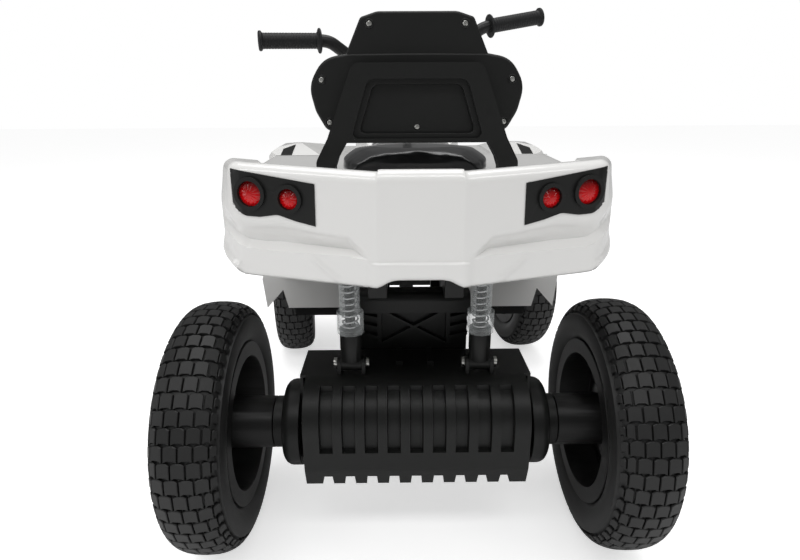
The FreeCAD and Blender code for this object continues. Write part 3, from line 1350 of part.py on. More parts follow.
def tail_lamps():
    """Black lamp panels with two lenses each."""
    nodes = {}
    panels = []
    lenses = []
    outer = prism_z(TAIL_PLAN, 0, 2 * TAIL_TOP, -LAMP_PROUD)
    inner = prism_z(TAIL_PLAN, 0, 2 * TAIL_TOP, LAMP_DEPTH)
    band = outer.cut(inner)
    back = behind(TAIL_BEHIND + CUT_OVER)
    deep = TAIL_BEHIND + CUT_OVER - TAIL_CORNER_BEHIND + LAMP_DEPTH
    places = ((LENS_BIG_X, LENS_BIG_DROP, LENS_BIG_R), (LENS_SMALL_X, LENS_SMALL_DROP, LENS_SMALL_R))
    for side in (-1, 1):
        wire = outline(lamp_outline(side), lambda p: V(p.x, back, p.y)).makeOffset2D(-SEAT)
        panel = Part.Face(wire).extrude(V(0, deep, 0)).common(band)
        normal = face_normal(side)
        holes = []
        for x, fall, radius in places:
            at = face_point(x, TAIL_TOP - fall, side)
            rim_out = at + normal * (LAMP_PROUD + BEZEL_OUT)
            panel = panel.fuse(rod(at - normal * BEZEL_OUT, rim_out, radius + BEZEL_W))
            holes.append(rod(at - normal * (LENS_DEPTH + SEAT), at + normal * CUT_OVER, radius + SEAT))
            lenses.append(lens(at, normal, radius))
        panels.append(panel.cut(holes))
    nodes["tail_lamps"] = Part.makeCompound(panels)
    nodes["tail_lamp_lenses"] = Part.makeCompound(lenses)
    return nodes


def footwell_tub():
    """White floor, walls and tunnel between the wheels."""
    y0 = ahead(TUB_REAR)
    y1 = FRONT_Y - TUB_FRONT
    wall = TUB_WALL
    floor = TUB_FLOOR
    rear = prism_y(both_sides([
        (TUB_HALF, floor), (FLAP_NOTCH_X, floor + FLAP_NOTCH_RISE), (TUB_FLAP_X - FLAP_LEAN, floor),
        (TUB_FLAP_X, floor + FLAP_RISE), (FENDER_FRONT_X, TUB_TOP + FLAP_BLEND),
        (FENDER_FRONT_X, DECK_Z)]), y0, y0 + wall)
    rail_way = box(-TUNNEL_HALF + wall, TUNNEL_HALF - wall, y0, y0 + wall, floor, TUNNEL_TOP)
    deck_end = y0 + TUNNEL_DECK
    deck = box(-TUNNEL_HALF, TUNNEL_HALF, y0, deck_end, DECK_Z - wall, DECK_Z)
    riser = box(-TUNNEL_HALF, TUNNEL_HALF, deck_end - wall, deck_end, TUNNEL_TOP - wall, DECK_Z)
    pieces = [rear.cut(rail_way), deck, riser]
    lugs = []
    for side in (-1, 1):
        x0, x1 = sorted((side * (TUNNEL_HALF - wall), side * TUB_HALF))
        pieces.append(box(x0, x1, y0, y1, floor, floor + wall))
        pieces.append(box(x0, x1, y1 - wall, y1, floor, TUB_TOP))
        pieces.append(box(x0, x1, y1 - wall, y1 + 2 * wall, TUB_TOP - wall, TUB_TOP))
        e0, e1 = sorted((side * (TUB_HALF - wall), side * TUB_HALF))
        pieces.append(box(e0, e1, y0, y1, floor, floor + TUB_LIP))
        t0, t1 = sorted((side * (TUNNEL_HALF - wall), side * TUNNEL_HALF))
        pieces.append(prism_x([(y0, floor), (y1, floor), (y1, TUNNEL_TOP), (deck_end, TUNNEL_TOP),
                               (deck_end, DECK_Z), (y0, DECK_Z)], t0, t1))
    hinge_y, hinge_z = pedal_hinge()
    holes = []
    for side in (-1, 1):
        a = PEDAL_X + side * (PEDAL_W / 2 + 2 * SEAT)
        l0, l1 = sorted((a, a + side * wall))
        lug_y0, lug_y1 = hinge_y - PEDAL_BARREL_R, hinge_y + PEDAL_BARREL_R
        lugs.append(box(l0, l1, lug_y0, lug_y1, floor + wall, hinge_z + PEDAL_BARREL_R))
        holes.append(rod_x(l0 - 1, l1 + 1, hinge_y, hinge_z, PEDAL_PIN_R + FIT))
    socket_y, socket_z = socket_place()
    holes.append(rod_x(TUNNEL_HALF - wall - 1, TUNNEL_HALF + 1, socket_y, socket_z, SOCKET_R + FIT))
    return fuse(*pieces, *lugs).cut(holes)


def pedal_hinge():
    """Place of the pedal's pin, as (y, z)."""
    return ahead(TUB_REAR + PEDAL_AHEAD), TUB_FLOOR + TUB_WALL + PEDAL_BARREL_R + PEDAL_LIFT


def socket_place():
    """Place of the charging socket on the tunnel's right wall, as (y, z)."""
    return ahead(TUB_REAR + SOCKET_AHEAD), TUNNEL_TOP - SOCKET_DROP


def pedal():
    """Foot throttle with its hinge pin."""
    y, z = pedal_hinge()
    x0 = PEDAL_X - PEDAL_W / 2
    x1 = PEDAL_X + PEDAL_W / 2
    plate = box(x0, x1, y, y + PEDAL_LENGTH, z - PEDAL_T / 2, z + PEDAL_T / 2)
    ribs = []
    top = z + PEDAL_T / 2
    inset = PEDAL_RIB_INSET
    for i in range(PEDAL_RIBS):
        rib_y = y + PEDAL_RIB_START + i * PEDAL_RIB_PITCH
        ribs.append(box(x0 + inset, x1 - inset, rib_y, rib_y + PEDAL_RIB_W, top, top + PEDAL_RIB_H))
    barrel = rod_x(x0, x1, y, z, PEDAL_BARREL_R)
    pin_reach = 2 * SEAT + TUB_WALL
    pin = rod_x(x0 - pin_reach, x1 + pin_reach, y, z, PEDAL_PIN_R)
    piece = fuse(plate, barrel, pin, *ribs)
    piece.rotate(V(0, y, z), X_AXIS, PEDAL_SLOPE)
    return piece


FRONT_PLAN = both_sides([
    (NOSE_HALF, FRONT_Y + FRONT_SHELL_FRONT, NOSE_ROUND),
    (NOSE_SHOULDER_X, FRONT_Y + FRONT_SHELL_FRONT - NOSE_SWEEP, FRONT_ROUND),
    (FRONT_HALF - FRONT_TAPER, FRONT_Y + FRONT_WIDE_AHEAD, FRONT_ROUND),
    (FRONT_HALF, FRONT_Y - FRONT_WIDE_BEHIND, FRONT_ROUND),
    (TUB_HALF + FRONT_REAR_STEP, FRONT_Y - FRONT_SHELL_REAR)])


def front_shape(drop, inset):
    """Solid inside the front fenders' skin, lowered and drawn in."""
    plan = prism_z(FRONT_PLAN, 0, 2 * FRONT_TOP, inset)
    front = FRONT_Y + FRONT_SHELL_FRONT + CUT_OVER
    rear = FRONT_Y - FRONT_SHELL_REAR - CUT_OVER
    low = FRONT_BOTTOM if not drop else 0
    top = FRONT_TOP - drop
    side = [(rear, low), (front, low), (front, FRONT_BOTTOM + NOSE_LIFT - drop),
            (FRONT_Y + FRONT_FALL_AHEAD, top - FRONT_FALL, FRONT_ROUND),
            (FRONT_Y - FRONT_CREST_BEHIND, top, FRONT_ROUND), (rear, top - FRONT_REAR_FALL)]
    wide = FRONT_HALF + CUT_OVER
    crown = both_sides([(wide, low), (wide, top - SIDE_FALL),
                        (FRONT_HALF - SHOULDER_IN, top - SHOULDER_FALL, CROWN_ROUND),
                        (CREST_X, top, CROWN_ROUND), (VALLEY_X, top - VALLEY_FALL, CROWN_ROUND),
                        (VALLEY_IN, top - VALLEY_FALL)])
    return plan.common(prism_x(side, -wide, wide)).common(prism_y(crown, rear, front))


def front_fender():
    """White front fenders in one piece, with an arch over each wheel and a way for the frame."""
    shell = front_shape(0, 0).cut(front_shape(SHELL_WALL, SHELL_WALL))
    cuts = []
    for side in (-1, 1):
        cuts.append(rod_x(side * ARCH_IN, side * (FRONT_HALF + CUT_OVER), FRONT_Y, AXLE_Z, ARCH_R))
    half = RAIL_OUT + 4 * SHELL_WALL
    rear = FRONT_Y - FRONT_SHELL_REAR
    cuts.append(box(-half, half, rear + 2 * SHELL_WALL, FRONT_Y - COLUMN_FOOT_BACK, FRONT_BOTTOM, FRONT_TOP))
    way = RAIL_TOP + SHELL_WALL
    cuts.append(box(-half, half, rear - CUT_OVER, rear + 3 * SHELL_WALL, FRONT_BOTTOM, way))
    return shell.cut(cuts)


def column_way():
    """Room for the steering column through the bodywork."""
    end = along_column(COLUMN_LENGTH - COLUMN_WAY_END)
    return rod(along_column(COLUMN_WAY_START), end, COLUMN_R + COLUMN_WAY)


HOOD_TIP_Y = FRONT_Y + FRONT_SHELL_FRONT - HOOD_TIP_BACK

HOOD_LINE = [
    (ahead(HOOD_REAR), HOOD_TOP - HOOD_REAR_FALL, HOOD_ROUND),
    (ahead(HOOD_REAR + HOOD_RISE_RUN), HOOD_TOP - HOOD_RISE_FALL, HOOD_CROWN_ROUND),
    (ahead(HOOD_REAR + HOOD_FLAT_RUN), HOOD_TOP, HOOD_CROWN_ROUND),
    (FRONT_Y - HOOD_FLAT_FRONT, HOOD_TOP, HOOD_CROWN_ROUND),
    (FRONT_Y + HOOD_SLOPE_AHEAD, HOOD_TOP - HOOD_SLOPE_FALL, HOOD_CROWN_ROUND),
    (HOOD_TIP_Y, FRONT_BOTTOM + HOOD_TIP_RISE, HOOD_ROUND)]

HOOD_FOOT = [
    (HOOD_TIP_Y, FRONT_BOTTOM),
    (FRONT_Y - TUB_FRONT + SEAT, FRONT_BOTTOM),
    (FRONT_Y - TUB_FRONT + SEAT, TUNNEL_TOP + HOOD_LIFT),
    (ahead(HOOD_REAR), TUNNEL_TOP + HOOD_LIFT)]

HOOD_PLAN = both_sides([
    (HOOD_HALF - HOOD_WAIST, ahead(HOOD_REAR), HOOD_ROUND),
    (HOOD_HALF + HOOD_FLARE, FRONT_Y - HOOD_WIDE_BEHIND, FRONT_ROUND),
    (HOOD_HALF - HOOD_TIP_IN, HOOD_TIP_Y, HOOD_ROUND)])


def hood():
    """White tank and hood between the seat and the nose."""
    plan = list(reversed(HOOD_PLAN))
    wide = 2 * HOOD_HALF
    outer = prism_z(plan, 0, 2 * HOOD_TOP).common(prism_x(HOOD_LINE + HOOD_FOOT, -wide, wide))
    lowered = [(p[0], p[1] - SHELL_WALL) + tuple(p[2:]) for p in HOOD_LINE]
    floor = [(HOOD_LINE[-1][0], 0), (HOOD_LINE[0][0], 0)]
    inner = prism_z(plan, 0, 2 * HOOD_TOP, SHELL_WALL).common(prism_x(lowered + floor, -wide, wide))
    body = outer.cut(inner).cut(front_shape(-SEAT, -SEAT))
    y0 = dash_rear() + DASH_LIP
    y1 = dash_rear() + DASH_LENGTH - DASH_LIP
    half = DASH_HALF - DASH_LIP
    opening = box(-half, half, y0, y1, HOOD_TOP - CUT_OVER, HOOD_TOP + CUT_OVER)
    body = body.cut([column_way(), opening])
    return max(body.Solids, key=lambda solid: solid.Volume)


def dash_rear():
    """Rear edge of the dash panel."""
    return FRONT_Y - DASH_BEHIND


def dash():
    """Dash panel with its power button and direction rocker."""
    y0 = dash_rear()
    y1 = y0 + DASH_LENGTH
    z0 = HOOD_TOP + SEAT
    z1 = z0 + DASH_T
    corners = [(-DASH_HALF, y0), (DASH_HALF, y0), (DASH_HALF, y1), (-DASH_HALF, y1)]
    panel = prism_z([(x, y, DASH_ROUND) for x, y in corners], z0, z1)
    mid_y = (y0 + y1) / 2
    button_x = -DASH_HALF / 2
    low = V(button_x, mid_y, z0 - BUTTON_TRAVEL)
    button = rod(low, V(button_x, mid_y, z1 + BUTTON_OUT), BUTTON_R)
    top_edge = max(button.Edges, key=lambda e: e.CenterOfMass.z)
    button = button.makeFillet(BUTTON_OUT / 3, [top_edge])
    button_hole = rod(V(button_x, mid_y, z0), V(button_x, mid_y, z1), BUTTON_R + 2 * FIT)
    rocker, rocker_cuts = rocker_switch(DASH_HALF / 2, mid_y, z0, z1)
    return {"dash_panel": panel.cut([button_hole] + rocker_cuts), "power_button": button,
            "direction_rocker": rocker}


def rocker_switch(x, y, z0, z1):
    """Direction rocker on its pin, and the slot and pin holes that it needs in the panel."""
    half, half_w = ROCKER_L / 2, ROCKER_W / 2
    z = (z0 + z1) / 2
    low, high, dip = z - ROCKER_DEPTH, z + ROCKER_RISE, z + ROCKER_RISE - ROCKER_DIP
    body = prism_x([(y - half, low), (y + half, low), (y + half, high), (y, dip), (y - half, high)],
                   x - half_w, x + half_w)
    reach = half_w + ROCKER_PIN_STICK
    pin = rod_x(x - reach, x + reach, y, z, ROCKER_PIN_R)
    holes = rod_x(x - reach - SEAT, x + reach + SEAT, y, z, ROCKER_PIN_R + FIT)
    side, end = half_w + ROCKER_GAP / 2, half + 2 * ROCKER_GAP
    slot = box(x - side, x + side, y - end, y + end, z0, z1)
    return fuse(body, pin), [slot, holes]


def nose():
    """Grille and headlamp lenses on the front fenders."""
    y0 = FRONT_Y + FRONT_SHELL_FRONT + SEAT
    low = FRONT_BOTTOM + GRILLE_RISE
    high = low + GRILLE_H
    foot, head, turn = GRILLE_LOW_HALF, GRILLE_HIGH_HALF, GRILLE_T
    frame_line = [(-foot, low, turn), (foot, low, turn), (head, high, turn), (-head, high, turn)]
    grille = prism_y(frame_line, y0, y0 + GRILLE_T)
    slots = []
    slot_y = y0 + GRILLE_T - GRILLE_SLOT_DEPTH
    for i in range(GRILLE_SLOTS):
        z = low + GRILLE_SLOT_RISE + i * GRILLE_SLOT_PITCH
        slots.append(box(-GRILLE_SLOT_HALF, GRILLE_SLOT_HALF, slot_y, y0 + GRILLE_T, z, z + GRILLE_SLOT_H))
    skin = front_shape(-HEADLAMP_T, -HEADLAMP_T).cut(front_shape(-SEAT, -SEAT))
    lenses = []
    for side in (-1, 1):
        points = [(side * x, FRONT_BOTTOM + rise, turn) for x, rise, turn in HEADLAMP_SHAPE]
        block = prism_y(points, FRONT_Y + HEADLAMP_AHEAD, FRONT_Y + FRONT_SHELL_FRONT + CUT_OVER)
        lenses.append(block.common(skin))
    return {"nose_grille": grille.cut(slots), "headlamp_lenses": Part.makeCompound(lenses)}


# Seat and backrest

def cushion_wire(place, half, low, edge, crown):
    """One cross section of a cushion: flat foot, bulged sides, crowned top. place takes (across, up)."""
    height = edge - low
    foot = half - SIDE_BULGE * height
    shoulder = foot + SIDE_TUCK * height
    middle = (low + edge) / 2
    a, b = place(-foot, low), place(foot, low)
    c, d = place(shoulder, edge), place(-shoulder, edge)
    arcs = [Part.Arc(b, place(half, middle), c), Part.Arc(c, place(0, crown), d),
            Part.Arc(d, place(-half, middle), a)]
    return Part.Wire([Part.LineSegment(a, b).toShape()] + [arc.toShape() for arc in arcs])


def saddle():
    """Seat cushion, crowned, with bulged sides and a narrower nose."""
    low = DECK_Z + SEAT
    y0 = behind(SADDLE_REAR)
    wires = []
    stations = ((0.0, SADDLE_HALF * 0.84, 0.5), (0.12, SADDLE_HALF, 0.94), (0.45, SADDLE_HALF * 0.94, 0.7),
                (0.8, SADDLE_NOSE_HALF * 1.11, 0.64), (1.0, SADDLE_NOSE_HALF, 0.45))
    for share, half, height in stations:
        y = y0 + share * SADDLE_LENGTH
        crown = low + SADDLE_T * height
        edge = low + (SADDLE_T - SADDLE_EDGE) * height
        wires.append(cushion_wire(lambda a, b: V(a, y, b), half, low, edge, crown))
    return Part.makeLoft(wires, True)


def back_plane():
    """Front face of the backrest bracket."""
    return behind(BACK_BEHIND - BRACKET_T)


def wing_z():
    """Height of the widest place of the backrest shell."""
    return SHELL_BOTTOM + WING_MID * WING_H


def shell_outline():
    """Outline of the backrest shell with its headrest, +X half from the foot up."""
    return both_sides([
        (SHELL_FOOT_HALF, SHELL_BOTTOM, WING_ROUND / 2),
        (WING_HALF - WING_LOW_IN, SHELL_BOTTOM + WING_LOW_RISE, WING_ROUND),
        (WING_HALF, wing_z(), WING_ROUND / 2),
        (WING_HALF - WING_TOP_IN, SHELL_SHOULDER - WING_LOW_RISE / 4, WING_ROUND),
        (HEAD_FOOT_HALF, SHELL_SHOULDER),
        (HEAD_HALF, SHELL_TOP - HEAD_CORNER, HEAD_CORNER),
        (HEAD_TOP_HALF, SHELL_TOP, WING_ROUND)])


def bracket():
    """Arched bracket that stands on the tail and carries the backrest, with its recess."""
    rear, front = behind(BACK_BEHIND), back_plane()
    foot = DECK_Z + SEAT
    leg_in = BRACKET_FOOT_HALF - BRACKET_LEG_W
    turn = BRACKET_ROUND
    body = prism_y(both_sides([
        (BRACKET_ARCH_HALF, DECK_Z + BRACKET_ARCH_RISE),
        (BRACKET_KNEE_X, DECK_Z + BRACKET_KNEE_RISE, turn / 2),
        (leg_in, DECK_Z + BRACKET_LEG_RISE), (leg_in, foot), (BRACKET_FOOT_HALF, foot),
        (BRACKET_FOOT_HALF, DECK_Z + BRACKET_FOOT_RISE, turn),
        (BRACKET_WAIST_HALF, DECK_Z + BRACKET_WAIST_RISE, turn),
        (BRACKET_TOP_HALF, DECK_Z + BRACKET_H, turn)]), rear, front)
    low = DECK_Z + BRACKET_ARCH_RISE + RECESS_LIFT
    high = DECK_Z + BRACKET_H - RECESS_TOP_DROP
    recess = prism_y(both_sides([(RECESS_FOOT_HALF, low, turn / 2), (RECESS_TOP_HALF, high, turn)]),
                     rear, rear + RECESS_DEPTH)
    return body.cut(recess)


def back_screw(at, grip):
    """A pan-head screw along +Y whose head lies on the face at a point, and its hole."""
    head_y = V(0, SEAT / 2, 0)
    head = rod(at - head_y - V(0, SCREW_HEAD_T, 0), at - head_y, SCREW_HEAD_R)
    shank = rod(at - head_y, at + V(0, grip, 0), SCREW_R)
    hole = rod(at, at + V(0, grip + SEAT, 0), SCREW_R + FIT)
    return fuse(head, shank), hole


def back_pad(pad_y):
    """Padded front of the backrest."""
    inset = PAD_INSET
    low, shoulder, top = SHELL_BOTTOM, SHELL_SHOULDER, SHELL_TOP
    stations = ((low + inset / 2, SHELL_FOOT_HALF - inset, 0.6),
                (low + WING_LOW_RISE, WING_HALF - 2 * inset, 0.9),
                (wing_z(), WING_HALF - 1.5 * inset, 1.0),
                (shoulder - inset / 3, HEAD_FOOT_HALF + inset / 2, 0.85),
                (top - 2 * inset, HEAD_HALF - inset / 3, 0.9),
                (top - inset / 2, HEAD_TOP_HALF, 0.5))
    wires = []
    for z, half, share in stations:
        crown = pad_y + PAD_T * share
        edge = pad_y + PAD_T * share * 0.6
        wires.append(cushion_wire(lambda a, b: V(a, b, z), half, pad_y, edge, crown))
    return Part.makeLoft(wires, True)


def backrest():
    """Bracket, shell, pad and screws of the backrest."""
    shell_y = back_plane() + SEAT
    shell = prism_y(shell_outline(), shell_y, shell_y + SHELL_T)
    inset = SCREW_INSET
    places = [(WING_HALF - inset, wing_z() + inset / 2), (SHELL_FOOT_HALF + inset / 2, SHELL_BOTTOM + inset),
              (HEAD_HALF - inset, SHELL_TOP - inset)]
    screws, holes = [], []
    for x, z in places:
        for side in (-1, 1):
            screw, hole = back_screw(V(side * x, shell_y, z), SCREW_GRIP)
            screws.append(screw)
            holes.append(hole)
    plate_z = DECK_Z + BRACKET_ARCH_RISE + PLATE_SCREW_RISE
    plate_at = V(0, behind(BACK_BEHIND - RECESS_DEPTH), plate_z)
    screw, plate_hole = back_screw(plate_at, (BRACKET_T - RECESS_DEPTH) * 0.8)
    screws.append(screw)
    return {
        "backrest_bracket": bracket().cut(plate_hole),
        "backrest_shell": shell.cut(holes),
        "backrest_pad": back_pad(shell_y + SHELL_T + SEAT),
        "backrest_screws": Part.makeCompound(screws),
    }


def battery():
    """Battery on the rails."""
    z0 = RAIL_TOP + SEAT
    y0 = ahead(BATTERY_AHEAD)
    lid = z0 + BATTERY_H - TERMINAL_H
    body = box(-BATTERY_W / 2, BATTERY_W / 2, y0, y0 + BATTERY_L, z0, lid)
    terminals = []
    t0 = y0 + TERMINAL_INSET
    for side in (-1, 1):
        x = side * BATTERY_W / 4
        terminals.append(box(x - TERMINAL / 2, x + TERMINAL / 2, t0, t0 + TERMINAL, lid, lid + TERMINAL_H))
    return fuse(body, *terminals)


def charge_socket():
    """Charging socket in the tunnel's right wall."""
    y, z = socket_place()
    flange_in = TUNNEL_HALF + SEAT
    face = flange_in + SOCKET_FLANGE_T
    flange = rod_x(flange_in, face, y, z, SOCKET_FLANGE_R)
    body = rod_x(TUNNEL_HALF - SOCKET_BODY, flange_in, y, z, SOCKET_R)
    bore = rod_x(face - SOCKET_BORE_DEPTH, face, y, z, SOCKET_BORE_R)
    return fuse(flange, body).cut(bore)


def build():
    """Every piece, by node name."""
    nodes = {}
    nodes.update(rear_wheels())
    nodes.update(drive_train())
    nodes.update(swing_group())
    nodes.update(dampers())
    nodes.update(frame())
    nodes.update(steering())
    nodes.update(front_wheels())
    nodes["rear_fender"] = rear_fender()
    nodes.update(tail_lamps())
    nodes["footwell_tub"] = footwell_tub()
    nodes["front_fender"] = front_fender()
    nodes["hood"] = hood()
    nodes.update(dash())
    nodes.update(nose())
    nodes["saddle"] = saddle()
    nodes.update(backrest())
    nodes["battery"] = battery()
    nodes["charge_socket"] = charge_socket()
    nodes["pedal"] = pedal()
    return nodes


os.makedirs("parts", exist_ok=True)
for node, piece in build().items():
    piece.exportStep("parts/" + node + ".step")
    print(node, len(piece.Solids), round(piece.Volume), piece.isValid())
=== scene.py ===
import json
import logging
import math
from dataclasses import dataclass, field
from enum import Enum
from typing import Callable, Sequence

import bpy
import bmesh
import numpy as np
from mathutils import Matrix, Vector


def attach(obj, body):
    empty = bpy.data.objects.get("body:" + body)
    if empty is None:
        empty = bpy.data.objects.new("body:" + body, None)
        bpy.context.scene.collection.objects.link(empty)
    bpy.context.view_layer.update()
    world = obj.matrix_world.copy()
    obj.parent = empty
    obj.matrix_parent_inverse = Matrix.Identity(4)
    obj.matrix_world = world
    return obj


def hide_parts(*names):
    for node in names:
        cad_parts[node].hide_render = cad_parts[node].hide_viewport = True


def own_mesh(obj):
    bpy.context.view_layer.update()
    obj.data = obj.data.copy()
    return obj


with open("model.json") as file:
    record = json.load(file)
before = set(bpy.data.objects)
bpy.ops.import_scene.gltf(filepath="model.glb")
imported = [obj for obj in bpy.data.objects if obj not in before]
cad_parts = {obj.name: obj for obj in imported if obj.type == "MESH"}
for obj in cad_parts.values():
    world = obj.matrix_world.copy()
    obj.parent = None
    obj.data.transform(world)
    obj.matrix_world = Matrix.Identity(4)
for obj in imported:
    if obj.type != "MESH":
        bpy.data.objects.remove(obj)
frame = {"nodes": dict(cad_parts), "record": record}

LOG = logging.getLogger("quad")
MM = 0.001
MERGE = 0.00002
REAR_Y = -337.5
FRONT_Y = 312.5
AXLE_Z = 175.0
AFT = np.array([0.0, -1.0, 0.0])
UP = np.array([0.0, 0.0, 1.0])
Point = tuple[float, float, float]
Table = tuple[tuple[float, ...], ...]
Form = tuple[np.ndarray, list[tuple[int, ...]]]


def feed(tree: bpy.types.NodeTree, node: bpy.types.Node, inputs: dict) -> None:
    """Sets values on a node's inputs and links sockets to them.

    Args:
        tree: Tree of the node.
        node: Node to feed.
        inputs: Value or source socket, by name or number of the input.
    """
    for key, value in inputs.items():
        if isinstance(value, bpy.types.NodeSocket):
            tree.links.new(value, node.inputs[key])
        else:
            node.inputs[key].default_value = value


def add(tree: bpy.types.NodeTree, kind: str, inputs: dict, **settings: str) -> bpy.types.Node:
    """Adds a shader node.

    Args:
        tree: Tree that gets the node.
        kind: The node's type, without ShaderNode.
        inputs: Value or source socket, by name or number of the input.
        settings: Properties of the node, set before its inputs.

    Returns:
        The node.
    """
    node = tree.nodes.new("ShaderNode" + kind)
    for name, value in settings.items():
        setattr(node, name, value)
    feed(tree, node, inputs)
    return node


def new_material(name: str) -> tuple[bpy.types.Material, bpy.types.NodeTree, bpy.types.Node]:
    """Starts a node material.

    Args:
        name: Material name.

    Returns:
        The material, its tree and its surface shader.
    """
    material = bpy.data.materials.new(name)
    material.use_nodes = True
    return material, material.node_tree, material.node_tree.nodes["Principled BSDF"]


class Grain(Enum):
    """Kind of fine surface relief on a finish."""

    SMOOTH = "smooth"
    PEBBLE = "pebble"
    HIDE = "hide"
    BRUSHED = "brushed"


@dataclass(frozen=True)
class Finish:
    """One procedural surface finish."""

    name: str
    colour: Point
    shade: Point
    roughness: float
    grain: Grain = Grain.SMOOTH
    grain_scale: float = 900.0
    grain_depth: float = 0.05
    metallic: float = 0.0
    coat: float = 0.0
    specular: float = 0.5
    mottling: float = 14.0
    coat_roughness: float = 0.06
    smoother: float = 0.05
    rougher: float = 0.06
    relief: float = 0.0006
    brushing: Point = (0.05, 1.0, 1.0)

    def make(self) -> bpy.types.Material:
        """Builds the node material of this finish.

        Returns:
            The new material.
        """
        material, tree, shader = new_material(self.name)
        place = add(tree, "TexCoord", {}).outputs["Object"]
        cloud = add(tree, "TexNoise", {"Scale": self.mottling, "Detail": 4.0, "Vector": place})
        share = cloud.outputs["Fac"]
        tint = add(tree, "Mix", {"A": (*self.colour, 1.0), "B": (*self.shade, 1.0), "Factor": share},
                   data_type="RGBA")
        rough = add(tree, "MapRange", {"To Min": max(0.03, self.roughness - self.smoother),
                                       "To Max": self.roughness + self.rougher, "Value": share})
        feed(tree, shader, {
            "Metallic": self.metallic, "Coat Weight": self.coat, "Coat Roughness": self.coat_roughness,
            "Specular IOR Level": self.specular, "Base Color": tint.outputs["Result"],
            "Roughness": rough.outputs["Result"], "Normal": self._relief(tree, place)})
        return material

    def _relief(self, tree: bpy.types.NodeTree, place: bpy.types.NodeSocket) -> bpy.types.NodeSocket:
        """Adds the fine relief.

        Args:
            tree: The material's tree.
            place: Socket with the place on the object.

        Returns:
            Socket with the relief's normal.
        """
        if self.grain is Grain.BRUSHED:
            stretch = add(tree, "Mapping", {"Scale": self.brushing, "Vector": place})
            place = stretch.outputs["Vector"]
        inputs = {"Scale": self.grain_scale, "Vector": place}
        if self.grain is Grain.HIDE:
            height = add(tree, "TexVoronoi", inputs).outputs["Distance"]
        else:
            height = add(tree, "TexNoise", {**inputs, "Detail": 3.0}).outputs["Fac"]
        bump = add(tree, "Bump", {"Strength": self.grain_depth, "Distance": self.relief, "Height": height})
        return bump.outputs["Normal"]


@dataclass(frozen=True)
class ClearFinish:
    """Thin clear plastic that shows its edges."""

    name: str
    tint: Point
    body: float
    edge: float
    roughness: float = 0.08
    facing: float = 0.35
    haze: float = 0.06
    haze_scale: float = 120.0

    def make(self) -> bpy.types.Material:
        """Builds the node material of the clear plastic.

        Returns:
            The new material.
        """
        material, tree, shader = new_material(self.name)
        feed(tree, shader, {"Base Color": (*self.tint, 1.0), "Roughness": self.roughness})
        clear = add(tree, "BsdfTransparent", {})
        facing = add(tree, "LayerWeight", {"Blend": self.facing})
        cloud = add(tree, "TexNoise", {"Scale": self.haze_scale})
        share = add(tree, "MapRange", {"To Min": self.body, "To Max": self.edge,
                                       "Value": facing.outputs["Facing"]})
        haze = add(tree, "Math", {0: cloud.outputs["Fac"], 1: self.haze, 2: share.outputs["Result"]},
                   operation="MULTIPLY_ADD")
        mix = add(tree, "MixShader", {"Fac": haze.outputs["Value"], 1: clear.outputs["BSDF"],
                                      2: shader.outputs["BSDF"]})
        feed(tree, tree.nodes["Material Output"], {"Surface": mix.outputs["Shader"]})
        return material


@dataclass(frozen=True)
class LensFinish:
    """Deep red lens, with painted shade that makes it darker above than below."""

    name: str
    # above is the darker red of the painted shade on the upper part; below is the lighter red lower down.
    above: Point
    below: Point
    roughness: float = 0.1
    specular: float = 0.3
    coat: float = 0.25
    coat_roughness: float = 0.03
    blur: float = 0.5
    blur_scale: float = 400.0
    span: tuple[float, float] = (-0.35, 0.95)

    def make(self) -> bpy.types.Material:
        """Builds the node material of the lens.

        Returns:
            The new material.
        """
        material, tree, shader = new_material(self.name)
        # Painted shade: the height in the lens blends the lighter red below into the darker red above.
        lift = add(tree, "Attribute", {}, attribute_name="lift")
        cloud = add(tree, "TexNoise", {"Scale": self.blur_scale})
        blur = add(tree, "Math", {0: cloud.outputs["Fac"], 1: self.blur, 2: lift.outputs["Fac"]},
                   operation="MULTIPLY_ADD")
        share = add(tree, "MapRange", {"From Min": self.span[0], "From Max": self.span[1],
                                       "Value": blur.outputs["Value"]})
        tint = add(tree, "Mix", {"A": (*self.below, 1.0), "B": (*self.above, 1.0),
                                 "Factor": share.outputs["Result"]}, data_type="RGBA")
        feed(tree, shader, {
            "Roughness": self.roughness, "Specular IOR Level": self.specular, "Coat Weight": self.coat,
            "Coat Roughness": self.coat_roughness, "Base Color": tint.outputs["Result"]})
        return material


